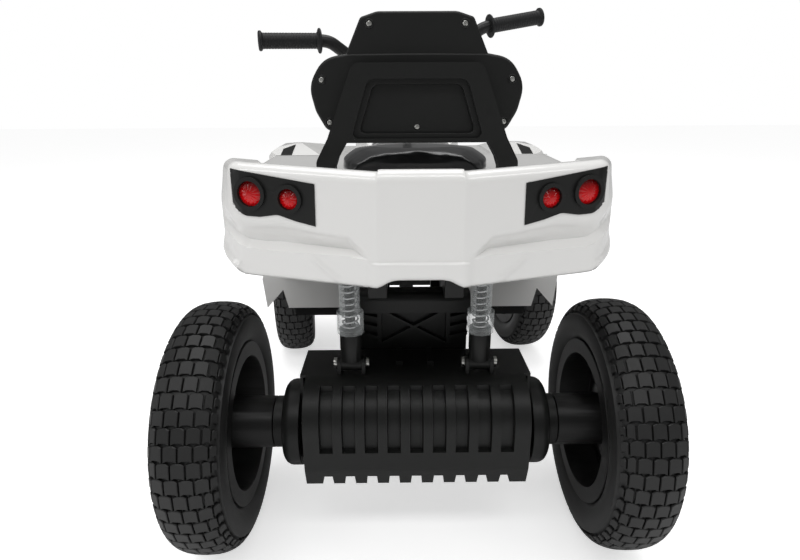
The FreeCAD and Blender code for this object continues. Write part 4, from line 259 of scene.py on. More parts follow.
FINISHES = {
    "white_plastic": Finish(
        "white plastic", (0.85, 0.845, 0.83), (0.82, 0.815, 0.8), 0.17, coat=0.45,
        grain_scale=260.0, grain_depth=0.012, mottling=6.0),
    "black_plastic": Finish(
        "black plastic", (0.0062, 0.0066, 0.0062), (0.0085, 0.009, 0.0085), 0.42,
        grain=Grain.PEBBLE, grain_scale=1500.0, grain_depth=0.12, specular=0.34),
    "black_steel": Finish(
        "black steel", (0.007, 0.007, 0.007), (0.01, 0.01, 0.01), 0.36,
        grain_scale=700.0, grain_depth=0.03, specular=0.35),
    "zinc_steel": Finish(
        "zinc steel", (0.62, 0.62, 0.6), (0.5, 0.5, 0.47), 0.28,
        grain=Grain.BRUSHED, metallic=1.0, grain_depth=0.06, mottling=60.0),
    "spring_steel": Finish(
        "spring steel", (0.86, 0.87, 0.88), (0.74, 0.74, 0.74), 0.18, metallic=0.85, mottling=80.0),
    "tyre_rubber": Finish(
        "tyre rubber", (0.0075, 0.0077, 0.008), (0.014, 0.014, 0.0135), 0.5,
        grain=Grain.PEBBLE, grain_scale=1100.0, grain_depth=0.16, mottling=30.0),
    "rim_plastic": Finish(
        "rim plastic", (0.006, 0.006, 0.006), (0.009, 0.009, 0.009), 0.38,
        grain=Grain.PEBBLE, grain_scale=1200.0, grain_depth=0.06, specular=0.3),
    "seat_skin": Finish(
        "seat skin", (0.014, 0.0145, 0.015), (0.02, 0.021, 0.022), 0.3,
        grain=Grain.HIDE, grain_scale=420.0, grain_depth=0.06, coat=0.4),
    # Red lens: the darker first colour is painted shade on the upper part of each lens.
    "red_lens": LensFinish("red lens", (0.15, 0.0006, 0.001), (0.72, 0.004, 0.007)),
    "grip_rubber": Finish(
        "grip rubber", (0.009, 0.0095, 0.01), (0.014, 0.0145, 0.015), 0.5,
        grain=Grain.PEBBLE, grain_depth=0.1, specular=0.3),
    "gear_plastic": Finish("gear plastic", (0.72, 0.7, 0.64), (0.66, 0.64, 0.58), 0.4),
    "red_button": Finish("red button", (0.45, 0.01, 0.01), (0.38, 0.008, 0.008), 0.25, coat=0.3),
    "clear_plastic": ClearFinish("clear plastic", (0.86, 0.9, 0.9), 0.03, 0.5),
    "head_lens": ClearFinish("head lens", (0.8, 0.86, 0.92), 0.55, 0.95),
}


class Palette:
    """Materials by slot name, each made once."""

    def __init__(self) -> None:
        """Starts with no materials made."""
        self._made: dict[str, bpy.types.Material] = {}

    def dress(self, obj: bpy.types.Object, slot: str) -> None:
        """Gives an object the material of a slot.

        Args:
            obj: Object with a mesh.
            slot: Name of the record's material slot.
        """
        if slot not in self._made:
            self._made[slot] = FINISHES[slot].make()
        obj.data.materials.clear()
        obj.data.materials.append(self._made[slot])


def placed(name: str, data: bpy.types.ID) -> bpy.types.Object:
    """Makes an object and links it to the scene.

    Args:
        name: Object name.
        data: Its mesh, camera or lamp.

    Returns:
        The object.
    """
    obj = bpy.data.objects.new(name, data)
    bpy.context.scene.collection.objects.link(obj)
    return obj


def smooth(mesh: bpy.types.Mesh, sharp: float) -> None:
    """Shades a mesh smooth apart from edges past an angle.

    Args:
        mesh: Mesh to shade.
        sharp: Angle in degrees past which an edge is sharp.
    """
    mesh.polygons.foreach_set("use_smooth", [True] * len(mesh.polygons))
    mesh.set_sharp_from_angle(angle=math.radians(sharp))


def mesh_object(name: str, *parts: Form, sharp: float = 40.0) -> bpy.types.Object:
    """Makes a smooth-shaded mesh object with sharp edges past an angle.

    Args:
        name: Object name.
        parts: Points in millimetres and faces of each part.
        sharp: Angle in degrees past which an edge is sharp.

    Returns:
        The new object.
    """
    faces, start = [], 0
    for points, rings in parts:
        faces += [[start + i for i in ring] for ring in rings]
        start += len(points)
    mesh = bpy.data.meshes.new(name)
    mesh.from_pydata((np.concatenate([points for points, _ in parts]) * MM).tolist(), [], faces)
    mesh.update()
    smooth(mesh, sharp)
    return placed(name, mesh)


def clean(mesh: bpy.types.Mesh, sharp: float, outward: bool = False) -> None:
    """Joins points that lie together.

    Args:
        mesh: Mesh to clean.
        sharp: Angle in degrees past which an edge is sharp.
        outward: True to turn all faces of a closed mesh outwards.
    """
    work = bmesh.new()
    work.from_mesh(mesh)
    bmesh.ops.remove_doubles(work, verts=work.verts, dist=MERGE)
    bmesh.ops.dissolve_degenerate(work, edges=work.edges, dist=MERGE)
    if outward:
        bmesh.ops.recalc_face_normals(work, faces=work.faces)
    work.to_mesh(mesh)
    work.free()
    smooth(mesh, sharp)


def round_edges(obj: bpy.types.Object, width: float, segments: int, angle: float,
                harden: bool = True) -> None:
    """Rounds an object's edges with a modifier.

    Args:
        obj: Object to round.
        width: Width of the round.
        segments: Steps of the round.
        angle: Angle in degrees past which an edge is rounded.
        harden: True to keep the faces beside the edges flat in shading.
    """
    edge = obj.modifiers.new("edge", "BEVEL")
    edge.width = width * MM
    edge.segments = segments
    edge.limit_method = "ANGLE"
    edge.angle_limit = math.radians(angle)
    edge.harden_normals = harden


def thicken(obj: bpy.types.Object, wall: float, offset: float) -> None:
    """Gives a sheet thickness with a modifier.

    Args:
        obj: Object that is a sheet.
        wall: Thickness.
        offset: -1 for all of it inside the sheet, 0 for half on each side.
    """
    thick = obj.modifiers.new("wall", "SOLIDIFY")
    thick.thickness = wall * MM
    thick.offset = offset


def grid_faces(rows: int, columns: int, wrap: bool = False, start: int = 0) -> list[tuple[int, ...]]:
    """Quads of a grid of points stored row by row.

    Args:
        rows: Count of rows.
        columns: Count of columns.
        wrap: True to join the last column to the first.
        start: Number of the grid's first point.

    Returns:
        The faces.
    """
    faces = []
    for here in range(start, start + (rows - 1) * columns, columns):
        for j in range(columns if wrap else columns - 1):
            k = (j + 1) % columns
            faces.append((here + j, here + k, here + columns + k, here + columns + j))
    return faces


def ease(value: np.ndarray | float) -> np.ndarray | float:
    """Smooth step from 0 to 1.

    Args:
        value: Place along the step, clipped to 0 to 1.

    Returns:
        Height of the step.
    """
    t = np.clip(value, 0.0, 1.0)
    return t * t * (3 - 2 * t)


def fade(value: np.ndarray | float, start: float, length: float) -> np.ndarray | float:
    """Smooth step from 0 at a start to 1 a length further on.

    Args:
        value: Place along the step.
        start: Where it starts.
        length: Its length, below 0 where it rises backwards.

    Returns:
        Height of the step.
    """
    return ease((value - start) / length)


def bell(off: np.ndarray | float, width: float) -> np.ndarray | float:
    """Bell-shaped section of a seam or crease.

    Args:
        off: Distance from its middle.
        width: Its width.

    Returns:
        Height, 1 in the middle.
    """
    return np.exp(-((off / width) ** 2))


def look_up(at: float, table: Table, column: int = 1) -> float:
    """Value between the rows of a table.

    Args:
        at: Place in the table's first column.
        table: Rows in rising order.
        column: Column of the value.

    Returns:
        The value.
    """
    rows = np.array(table, float)
    return float(np.interp(at, rows[:, 0], rows[:, column]))


def tangents(path: np.ndarray) -> np.ndarray:
    """Directions along a path.

    Args:
        path: Points of the path.

    Returns:
        A direction of length one at each point.
    """
    step = np.gradient(path, axis=0)
    return step / np.linalg.norm(step, axis=1)[:, None]


def right_of(step: np.ndarray) -> np.ndarray:
    """Directions to the right of others in a plane.

    Args:
        step: Directions as (a, b).

    Returns:
        The directions turned by a quarter.
    """
    return np.column_stack([step[:, 1], -step[:, 0]])


def run_along(path: np.ndarray) -> np.ndarray:
    """Distances along a path from its start.

    Args:
        path: Points of the path.

    Returns:
        Distance of each point.
    """
    return np.concatenate([[0], np.cumsum(np.linalg.norm(np.diff(path, axis=0), axis=1))])


def curve_points(points: Table, count: int) -> np.ndarray:
    """Evenly spaced points on a smooth curve through given points.

    Args:
        points: Points of the curve.
        count: How many points to give.

    Returns:
        Array of count points.
    """
    p = np.array(points, float)
    ends = np.vstack([2 * p[0] - p[1], p, 2 * p[-1] - p[-2]])
    fine = []
    for a, b, c, d in zip(ends[:-3], ends[1:-2], ends[2:-1], ends[3:]):
        for t in np.linspace(0, 1, 24, endpoint=False):
            fine.append(0.5 * (2 * b + (c - a) * t + (2 * a - 5 * b + 4 * c - d) * t ** 2
                               + (3 * b - a - 3 * c + d) * t ** 3))
    fine = np.array(fine + [p[-1]])
    run = run_along(fine)
    want = np.linspace(0, run[-1], count)
    return np.column_stack([np.interp(want, run, line) for line in fine.T])


def rounded(corners: Sequence[Sequence[float]], closed: bool = False, steps: int = 7) -> np.ndarray:
    """Points of a line of corners, some of them rounded.

    Args:
        corners: Corners as (a, b) or (a, b, radius).
        closed: True where the last corner joins the first.
        steps: Points on each round.

    Returns:
        Array of points.
    """
    count = len(corners)
    points = []
    for i, corner in enumerate(corners):
        here = np.array(corner[:2], float)
        radius = corner[2] if len(corner) > 2 else 0.0
        if radius == 0.0 or (not closed and i in (0, count - 1)):
            points.append(here)
            continue
        back = np.array(corners[i - 1][:2], float) - here
        ahead = np.array(corners[(i + 1) % count][:2], float) - here
        back_run, ahead_run = np.linalg.norm(back), np.linalg.norm(ahead)
        back, ahead = back / back_run, ahead / ahead_run
        half = math.acos(float(np.clip(back @ ahead, -1, 1))) / 2
        reach = min(radius / math.tan(half), 0.48 * back_run, 0.48 * ahead_run)
        for t in np.linspace(0, 1, steps):
            points.append(here + back * reach * (1 - t) ** 2 + ahead * reach * t ** 2)
    return np.array(points)


def both_sides(half: Table) -> list[tuple[float, ...]]:
    """A closed outline from its +X half.

    Args:
        half: Corners of the +X half, from the foot up.

    Returns:
        Corners of the whole outline.
    """
    return [*half, *((-c[0], *c[1:]) for c in reversed(half))]


def tube(path: np.ndarray, radius: float, sides: int) -> Form:
    """A closed tube along a path.

    Args:
        path: Points of the path.
        radius: Radius of the tube.
        sides: Points round the tube.

    Returns:
        Points and faces.
    """
    run = tangents(path)
    across = np.cross(run[0], (0.0, 0.3, 1.0))
    points = []
    for at, along in zip(path, run):
        across = across - along * (across @ along)
        across /= np.linalg.norm(across)
        up = np.cross(along, across)
        for angle in np.linspace(0, 2 * math.pi, sides, endpoint=False):
            points.append(at + radius * (math.cos(angle) * across + math.sin(angle) * up))
    faces = [f[::-1] for f in grid_faces(len(path), sides, wrap=True)]
    last = (len(path) - 1) * sides
    faces += [tuple(range(sides)), tuple(last + i for i in reversed(range(sides)))]
    return np.array(points), faces


def lathe(profile: Sequence[tuple[float, float]], at: Sequence[float], axis: np.ndarray, sides: int) -> Form:
    """A turned form about an axis.

    Args:
        profile: Places along the axis and radii.
        at: Start of the axis.
        axis: Direction of the axis, of length one.
        sides: Points round the form.

    Returns:
        Points and faces.
    """
    across = np.cross(axis, (0.31, 0.17, 0.93))
    across /= np.linalg.norm(across)
    up = np.cross(axis, across)
    points = []
    for along, radius in profile:
        for angle in np.linspace(0, 2 * math.pi, sides, endpoint=False):
            spoke = math.cos(angle) * across + math.sin(angle) * up
            points.append(at + axis * along + radius * spoke)
    return np.array(points), [f[::-1] for f in grid_faces(len(profile), sides, wrap=True)]


@dataclass
class Stage:
    """Camera, lights, floor and world."""

    camera_at: Point = (-26.44, -1050.79, 632.97)
    yaw: float = 0.0083
    pitch: float = 0.328
    roll: float = -0.005
    lens: float = 25.38
    sensor: float = 36.0
    near: float = 0.02
    around: float = 0.46
    mirrored: float = 0.2
    floor_glow: float = 0.55
    floor_half: float = 9000.0
    floor_z: float = -0.4

    def build(self) -> None:
        """Sets up the whole stage."""
        scene = bpy.context.scene
        scene.view_settings.view_transform = "Standard"
        data = bpy.data.cameras.new("camera")
        data.lens = self.lens
        data.sensor_width = self.sensor
        data.clip_start = self.near
        scene.camera = placed("camera", data)
        turn = Matrix.Rotation(-self.yaw, 4, "Z") @ Matrix.Rotation(math.pi / 2 - self.pitch, 4, "X")
        scene.camera.matrix_world = (Matrix.Translation(Vector(self.camera_at) * MM) @ turn
                                     @ Matrix.Rotation(self.roll, 4, "Z"))
        self._world()
        self._floor()
        self._lamp("bar", (0.0, -1.75, 2.45), (0, -0.4, 0.4), (4.4, 0.45), 26.0)
        self._lamp("top", (-0.1, 0.3, 2.8), (0, 0.1, 0.4), (2.4, 1.6), 34.0)
        self._lamp("left", (-2.4, -0.9, 1.2), (0, -0.1, 0.4), (0.9, 0.9), 5.0)

    def _world(self) -> None:
        """White surroundings, full white where the camera sees them."""
        world = bpy.data.worlds.new("studio")
        bpy.context.scene.world = world
        world.use_nodes = True
        tree = world.node_tree
        rays = add(tree, "LightPath", {}).outputs
        seen = add(tree, "Math", {0: rays["Is Camera Ray"], 1: rays["Is Transmission Ray"]},
                   operation="MAXIMUM")
        soft = add(tree, "MapRange", {"To Min": self.around, "To Max": self.mirrored,
                                      "Value": rays["Is Glossy Ray"]})
        level = add(tree, "MapRange", {"To Min": soft.outputs["Result"], "To Max": 1.0,
                                       "Value": seen.outputs["Value"]})
        feed(tree, tree.nodes["Background"], {"Color": (1.0, 1.0, 1.0, 1.0),
                                              "Strength": level.outputs["Result"]})

    def _floor(self) -> None:
        """Pale floor that keeps a soft shadow and is white elsewhere."""
        size, z = self.floor_half, self.floor_z
        corners = np.array([(-size, -size, z), (size, -size, z), (size, size, z), (-size, size, z)])
        floor = mesh_object("floor", (corners, [(0, 1, 2, 3)]))
        finish = Finish("floor", (0.93, 0.93, 0.93), (0.91, 0.91, 0.91), 0.9, specular=0.1, mottling=1.5)
        material = finish.make()
        tree = material.node_tree
        seen = add(tree, "LightPath", {}).outputs["Is Camera Ray"]
        share = add(tree, "Math", {0: seen, 1: self.floor_glow}, operation="MULTIPLY")
        glow = add(tree, "Emission", {"Strength": share.outputs["Value"]})
        both = add(tree, "AddShader", {0: tree.nodes["Principled BSDF"].outputs["BSDF"],
                                       1: glow.outputs["Emission"]})
        feed(tree, tree.nodes["Material Output"], {"Surface": both.outputs["Shader"]})
        floor.data.materials.append(material)

    @staticmethod
    def _lamp(name: str, at: Point, target: Point, size: tuple[float, float], power: float) -> None:
        """Adds a soft lamp.

        Args:
            name: Lamp name.
            at: Place in metres.
            target: Point it faces, in metres.
            size: Width and depth in metres.
            power: Power in watts.
        """
        data = bpy.data.lights.new(name, "AREA")
        data.shape = "RECTANGLE"
        data.size, data.size_y = size
        data.energy = power
        lamp = placed(name, data)
        lamp.location = at
        lamp.rotation_euler = (Vector(target) - Vector(at)).to_track_quat("-Z", "Y").to_euler()


@dataclass
class CadDress:
    """Finishes and softened edges on the CAD pieces that stay in view."""

    palette: Palette
    bevel: float = 1.4
    segments: int = 2
    angle: float = 38.0
    fine: tuple[str, ...] = (
        "springs", "drive_gear", "idler_gear", "motor_pinion", "backrest_screws",
        "spring_guards_upper", "spring_guards_lower", "footwell_tub")
    wide: dict[str, float] = field(default_factory=lambda: {
        "front_fender": 3.0, "hood": 3.0, "swing_arm": 1.6, "backrest_bracket": 2.4, "battery": 3.0,
        "tail_lamps": 0.9})

    def build(self) -> None:
        """Dresses every CAD node from the record's slots."""
        slots = {s["node"]: s["material_slot"] for s in frame["record"]["subparts"]}
        for name, node in frame["nodes"].items():
            self.palette.dress(node, slots[name])
            if name in self.fine:
                continue
            weld = node.modifiers.new("weld", "WELD")
            weld.merge_threshold = MERGE
            round_edges(node, self.wide.get(name, self.bevel), self.segments, self.angle)


@dataclass
class TyreSet:
    """Block-tread tyres on all four wheels."""

    palette: Palette
    rear_track: float = 558.0
    front_track: float = 566.0
    kingpin: float = 243.0
    turn: float = 8.0
    radius: float = 175.0
    rows: int = 54
    rings: int = 90
    groove: float = 4.2
    groove_gap: float = 2.4
    tread_reach: float = 49.0
    tread_edge: float = 2.0
    bow: float = 2.3
    profile: Table = (
        (34.6, 100.5), (34.8, 112.0), (36.6, 117.0), (41.5, 124.0), (44.4, 136.0), (43.6, 149.0),
        (39.6, 160.0), (32.5, 168.0), (22.0, 172.6), (11.0, 174.5), (0.0, 175.0))
    blocks: tuple[Table, Table] = (
        ((9.0, 16.4, 1.0), (27.0, 16.4, 1.0), (42.0, 10.4, 0.78)),
        ((0.0, 16.4, 1.0), (18.0, 16.4, 1.0), (33.0, 10.4, 1.0), (43.6, 8.0, 0.62)))
    insets: Table = ((0.0, -4.5), (0.1, -0.9), (0.8, 0.0))

    def build(self) -> None:
        """Makes one tyre mesh and sets it on the four wheels."""
        self._measure()
        points, faces = self._carcass()
        for row in range(self.rows):
            for off, width, share in self.blocks[row % 2]:
                for centre in sorted({-off, off}):
                    self._block(points, faces, row, centre, width, share)
        first = mesh_object("tyre", (np.array(points), faces), sharp=32.0)
        mesh = first.data
        bpy.data.objects.remove(first)
        spin = Matrix.Rotation(math.radians(self.turn), 4, "Z")
        for name, side in (("left", -1), ("right", 1)):
            rear = Matrix.Translation(Vector((side * self.rear_track / 2, REAR_Y, AXLE_Z)) * MM)
            pin = Matrix.Translation(Vector((side * self.kingpin, FRONT_Y, AXLE_Z)) * MM)
            reach = side * (self.front_track / 2 - self.kingpin)
            front = pin @ spin @ Matrix.Translation(Vector((reach, 0, 0)) * MM)
            for node, where, body in (("rear_tyre_" + name, rear, "rear_wheels"),
                                      ("front_tyre_" + name, front, "front_wheel_" + name[0])):
                tyre = placed("tread_" + node, mesh)
                tyre.matrix_world = where
                self.palette.dress(tyre, "tyre_rubber")
                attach(tyre, body)
                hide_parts(node)

    def _measure(self) -> None:
        """Works out the section curve, its normals and its length from the crown."""
        half = curve_points(self.profile, 120)
        whole = np.vstack([half, half[-2::-1] * np.array([-1, 1])])
        run = run_along(whole)
        self._run = run - run[len(run) // 2]
        self._lines = (*whole.T, *right_of(tangents(whole)).T)

    def _at(self, along: float, angle: float, height: float) -> Point:
        """A point near the tyre's surface.

        Args:
            along: Distance from the crown, along the section.
            angle: Angle round the wheel.
            height: Height above the surface.

        Returns:
            The point.
        """
        x, r, out_x, out_r = (np.interp(along, self._run, line) for line in self._lines)
        r = r + height * out_r
        return (-(x + height * out_x), r * math.cos(angle), r * math.sin(angle))

    def _carcass(self) -> tuple[list, list]:
        """The tyre's body, with its tread sunk to the bottom of the grooves.

        Returns:
            Points and faces.
        """
        around = 3 * self.rows
        points = []
        for i in np.linspace(0, len(self._run) - 1, self.rings).astype(int):
            along = self._run[i]
            sunk = -self.groove * fade(abs(along), self.tread_reach + self.tread_edge, -self.tread_edge)
            points += [self._at(along, 2 * math.pi * j / around, sunk) for j in range(around)]
        return points, grid_faces(self.rings, around, wrap=True)

    def _block(self, points: list, faces: list, row: int, centre: float, width: float, share: float) -> None:
        """Adds one tread block with bowed ends and softened edges.

        Args:
            points: Points so far, which get the block's.
            faces: Faces so far, which get the block's.
            row: Row number.
            centre: Middle of the block across the tread.
            width: Width of the block.
            share: Share of the row's length that it fills.
        """
        pitch = 2 * math.pi / self.rows
        w, h, b = width / 2, (self.radius * pitch - self.groove_gap) * share / 2, self.bow
        shape = np.array([(-w, -h), (-w / 2, -h - b), (w / 2, -h - b), (w, -h), (w, 0), (w, h),
                          (w / 2, h - b), (-w / 2, h - b), (-w, h), (-w, 0)])
        start, n = len(points), len(shape)
        for inset, height in self.insets:
            for s, t in shape * np.array([(w - inset) / w, (h - inset) / h]):
                points.append(self._at(centre + s, pitch * row + t / self.radius, height))
        faces += grid_faces(len(self.insets), n, wrap=True, start=start)
        faces.append(tuple(range(start + 2 * n, start + 3 * n)))


@dataclass
class TailSkin:
    """White tail and rear fenders, with creases, trough and lamp recesses.

    Places are measured from the rear axle: s runs along the plan from the middle, and a fade is
    the start and the length of a smooth step.
    """

    palette: Palette
    top: float = 555.5
    deck: float = 527.0
    roll: float = 12.0
    side_roll: float = 5.0
    roll_span: tuple[float, float] = (-66.0, -40.0)
    rim_fall: float = 4.0
    rim_step: float = 3.0
    rim_shares: tuple[float, ...] = (0.3, 0.65, 0.93)
    rim_full: float = 20.0
    roll_angles: tuple[float, ...] = (15, 30, 45, 60, 75, 90)
    foot_power: float = 1.3
    spacing: tuple[float, float] = (3.2, 9.0)
    close_end: float = -45.0
    saddle_half: float = 104.0
    saddle_share: float = 0.8
    wall: float = 4.0
    sharp: float = 42.0
    front: float = 249.8
    front_half: float = 229.0
    way_half: float = 84.0
    way_top: float = 470.0
    trough: float = 12.0
    deep_share: float = 0.22
    recess: float = 14.0
    recess_end: float = -80.0
    tail_end: float = -54.0
    lip: float = 2.4
    lip_fades: Table = ((57.0, -8.0), (0.0, -3.5))
    crease: float = 2.0
    crease_width: float = 3.2
    crease_fades: Table = ((122.0, -8.0), (84.0, 6.0))
    flare: float = 5.0
    flare_fades: Table = ((205.0, 40.0), (430.0, -130.0), (549.0, -42.0))
    haunch: float = 5.0
    haunch_sink: float = 1.5
    haunch_span: tuple[float, float] = (205.0, 300.0)
    haunch_fades: Table = ((300.0, -40.0), (0.0, -12.0))
    hem: float = 2.0
    hem_fade: tuple[float, float] = (4.0, -5.0)
    plan: Table = (
        (0.0, -150.0), (45.0, -150.0, 10.0), (205.0, -104.0, 24.0), (225.5, -54.0, 36.0), (229.0, 249.8))
    well: Table = ((0.0, -110.0), (39.4, -110.0), (174.8, -71.0), (185.0, -44.7), (189.0, 249.8))
    hollow: Table = (
        (0.0, 461.0, 469.0, 0.0), (52.0, 461.0, 469.0, 0.0), (58.5, 462.0, 472.0, 0.1),
        (76.2, 465.0, 488.0, 0.8), (110.6, 465.0, 491.5, 1.0), (135.5, 465.0, 496.5, 1.0),
        (156.3, 465.0, 501.5, 1.0), (177.1, 465.0, 499.0, 1.0), (195.9, 466.0, 499.5, 0.9),
        (225.0, 478.0, 507.0, 0.5), (250.0, 489.0, 514.0, 0.12), (262.0, 492.0, 516.0, 0.0),
        (310.0, 496.0, 514.0, 0.0), (700.0, 496.0, 514.0, 0.0))
    rear_hem: Table = (
        (0, 441), (24, 441), (32, 439.5), (41, 434.5), (46, 432.4), (52, 432), (184, 434), (205, 435),
        (225, 439))
    side_hem: Table = ((-54, 439), (-18, 450), (60, 440), (150, 400), (250, 312))
    rim: Table = ((0, 0.0), (43, 0.0), (47, -2.5), (60, -2.0), (205, 3.5))
    crease_line: Table = ((90, 438), (119, 461))
    haunch_lines: Table = ((211, 449, 447), (256, 474, 453), (300, 478, 454))
    lamp_span: tuple[float, float] = (112.0, 203.0)
    lamp_low: Table = ((110, 495), (132, 499.5), (152, 505.5), (172, 502), (190, 502.5), (206, 514))
    lamp_high: Table = ((109, 541), (205, 551))
    lamp_edge: float = 3.0

    def build(self) -> None:
        """Makes the skin with its deck and sets it in place of the CAD fender."""
        self._well = self._spaced(np.array(self.well), (1.0, 1.0))
        skin = self._skin()
        self.palette.dress(skin, "white_plastic")
        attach(skin, "chassis")
        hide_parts("rear_fender")

    def _spaced(self, path: np.ndarray, spacing: tuple[float, float]) -> np.ndarray:
        """Points along a path, closer together behind the axle.

        Args:
            path: Corners of the path.
            spacing: Spacing at the tail and along the sides.

        Returns:
            The points.
        """
        fine = []
        for a, b in zip(path[:-1], path[1:]):
            step = spacing[0] if a[1] < self.close_end else spacing[1]
            count = max(1, round(float(np.linalg.norm(b - a)) / step))
            fine += [a + (b - a) * t for t in np.linspace(0, 1, count, endpoint=False)]
        return np.array(fine + [path[-1]])

    def _lower(self, x: float, y: float) -> float:
        """Height of the skin's lower edge.

        Args:
            x: Distance from the middle.
            y: Distance ahead of the rear axle.

        Returns:
            Height.
        """
        return look_up(x, self.rear_hem) if y < self.tail_end else look_up(y, self.side_hem)

    def _trough(self, s: float) -> tuple[float, float, float]:
        """Foot, brow and depth share of the trough.

        Args:
            s: Distance along the plan from the middle.

        Returns:
            The three values.
        """
        return tuple(look_up(s, self.hollow, k) for k in (1, 2, 3))

    def _out(self, s: float, x: float, y: float, z: float) -> float:
        """How far the skin stands out from its plan.

        Args:
            s: Distance along the plan from the middle.
            x: Distance from the middle.
            y: Distance ahead of the rear axle.
            z: Height.

        Returns:
            Distance along the outward normal.
        """
        foot, brow, share = self._trough(s)
        out = 0.0
        if foot < z < brow:
            t, deep = (z - foot) / (brow - foot), self.deep_share
            out -= self.trough * share * (t / deep if t < deep else ease((1 - t) / (1 - deep)))
        lip, soft = self.lip_fades
        out += self.lip * fade(s, *lip) * fade(z - foot, *soft)
        end, start = self.crease_fades
        if start[0] < s < end[0] and z < foot:
            ridge = bell(z - look_up(s, self.crease_line), self.crease_width)
            out += self.crease * ridge * fade(s, *end) * fade(s, *start)
        start, end, under = self.flare_fades
        out += self.flare * fade(s, *start) * fade(s, *end) * fade(z, *under)
        if self.haunch_span[0] < s < self.haunch_span[1] and z < foot:
            high, low = (look_up(s, self.haunch_lines, k) for k in (1, 2))
            rise = ease((high - z) / max(2.0, high - low))
            end, under = self.haunch_fades
            out += self.haunch * (rise - fade(z - low, *under)) * fade(s, *end) - self.haunch_sink * rise
        out -= self.hem * fade(z - self._lower(x, y), *self.hem_fade)
        low = look_up(x, self.lamp_low) + self.lamp_edge
        high = look_up(x, self.lamp_high) - self.lamp_edge
        if self.lamp_span[0] < x < self.lamp_span[1] and low < z < high and y < self.recess_end:
            out -= self.recess
        return float(out)

    def _column(self, s: float, at: np.ndarray, normal: np.ndarray) -> list[Point]:
        """Points of one column, from the lower edge over the rim to the deck.

        Args:
            s: Distance along the plan from the middle.
            at: Plan point.
            normal: Outward direction there.

        Returns:
            The points.
        """
        x, y = float(at[0]), float(at[1])
        start, end = self.roll_span
        rim = self.top + look_up(x, self.rim)
        high = float(rim + (self.deck - rim) * fade(y, start, end - start))
        roll = float(np.interp(y, self.roll_span, [self.roll, self.side_roll]))
        low, edge = self._lower(x, y), high - roll
        foot, brow, _ = self._trough(s)
        deep = foot + self.deep_share * (brow - foot)
        levels = np.concatenate([foot - (foot - low) * np.linspace(1, 0, 18)[:-1] ** self.foot_power,
                                 np.linspace(foot, deep, 4)[:-1], np.linspace(deep, brow, 10)[:-1],
                                 np.linspace(brow, edge, 18)])
        line = []
        for z in levels:
            line.append((*(at + normal * self._out(s, x, y, float(z))), float(z)))
        for angle in np.radians(self.roll_angles):
            line.append((*(at - normal * roll * (1 - math.cos(angle))), edge + roll * math.sin(angle)))
        outer = np.array(line[-1][:2])
        inner = self._well[np.argmin(np.hypot(*(self._well - at).T))]
        fall = self.rim_fall * min(1.0, (high - self.deck) / self.rim_full)
        for share in self.rim_shares:
            line.append((*(outer + (inner - outer) * share), high - fall * share))
        line.append((*inner, max(self.deck, high - fall - self.rim_step)))
        line.append((*inner, self.deck))
        return [(0.0, *p[1:]) for p in line] if x == 0.0 else line

    def _skin(self) -> bpy.types.Object:
        """The whole skin as one sheet with thickness.

        Returns:
            The skin object.
        """
        path = self._spaced(rounded(self.plan), self.spacing)
        step = tangents(path)
        for _ in range(2):
            step[1:-1] = (step[:-2] + 2 * step[1:-1] + step[2:]) / 4
        normal = right_of(step / np.linalg.norm(step, axis=1)[:, None])
        normal[0] = (0.0, -1.0)
        half = np.array([self._column(*place) for place in zip(run_along(path), path, normal)])
        whole = np.concatenate([half[1:][::-1] * np.array([-1, 1, 1]), half])
        faces = [f[::-1] for f in grid_faces(*whole.shape[:2])]
        parts = [(whole.reshape(-1, 3), faces), self._deck(half[:, -1]), self._front()]
        for points, _ in parts:
            points[:, 1] += REAR_Y
        skin = mesh_object("tail_skin", *parts, sharp=self.sharp)
        clean(skin.data, self.sharp)
        thicken(skin, self.wall, -1.0)
        return skin

    def _deck(self, edge: np.ndarray) -> Form:
        """The level deck between the two edges.

        Args:
            edge: Points of the deck's edge on the +X side.

        Returns:
            Points and faces.
        """
        keep = [0] + [i for i in range(1, len(edge)) if edge[i, 1] - edge[i - 1, 1] > 0.01]
        rows = []
        for x, y, z in edge[keep]:
            level = min(self.saddle_half, self.saddle_share * x)
            rows.append([(across, y, z) for across in (x, level, -level, -x)])
        return np.array(rows).reshape(-1, 3), [f[::-1] for f in grid_faces(len(rows), 4)]

    def _front(self) -> Form:
        """The front wall with the frame's way through it.

        Returns:
            Points and faces.
        """
        half, way, top = self.front_half, self.way_half, self.way_top
        foot, deck, level = self._lower(half, self.front), self.deck, self.saddle_half
        spots = [(-half, foot), (-way, foot), (-way, top), (-half, top), (way, foot), (half, foot),
                 (half, top), (way, top), (-half, deck), (half, deck), (-level, deck), (level, deck)]
        points = np.array([(x, self.front, z) for x, z in spots])
        return points, [(3, 2, 1, 0), (7, 6, 5, 4), (8, 10, 11, 9, 6, 7, 2, 3)]


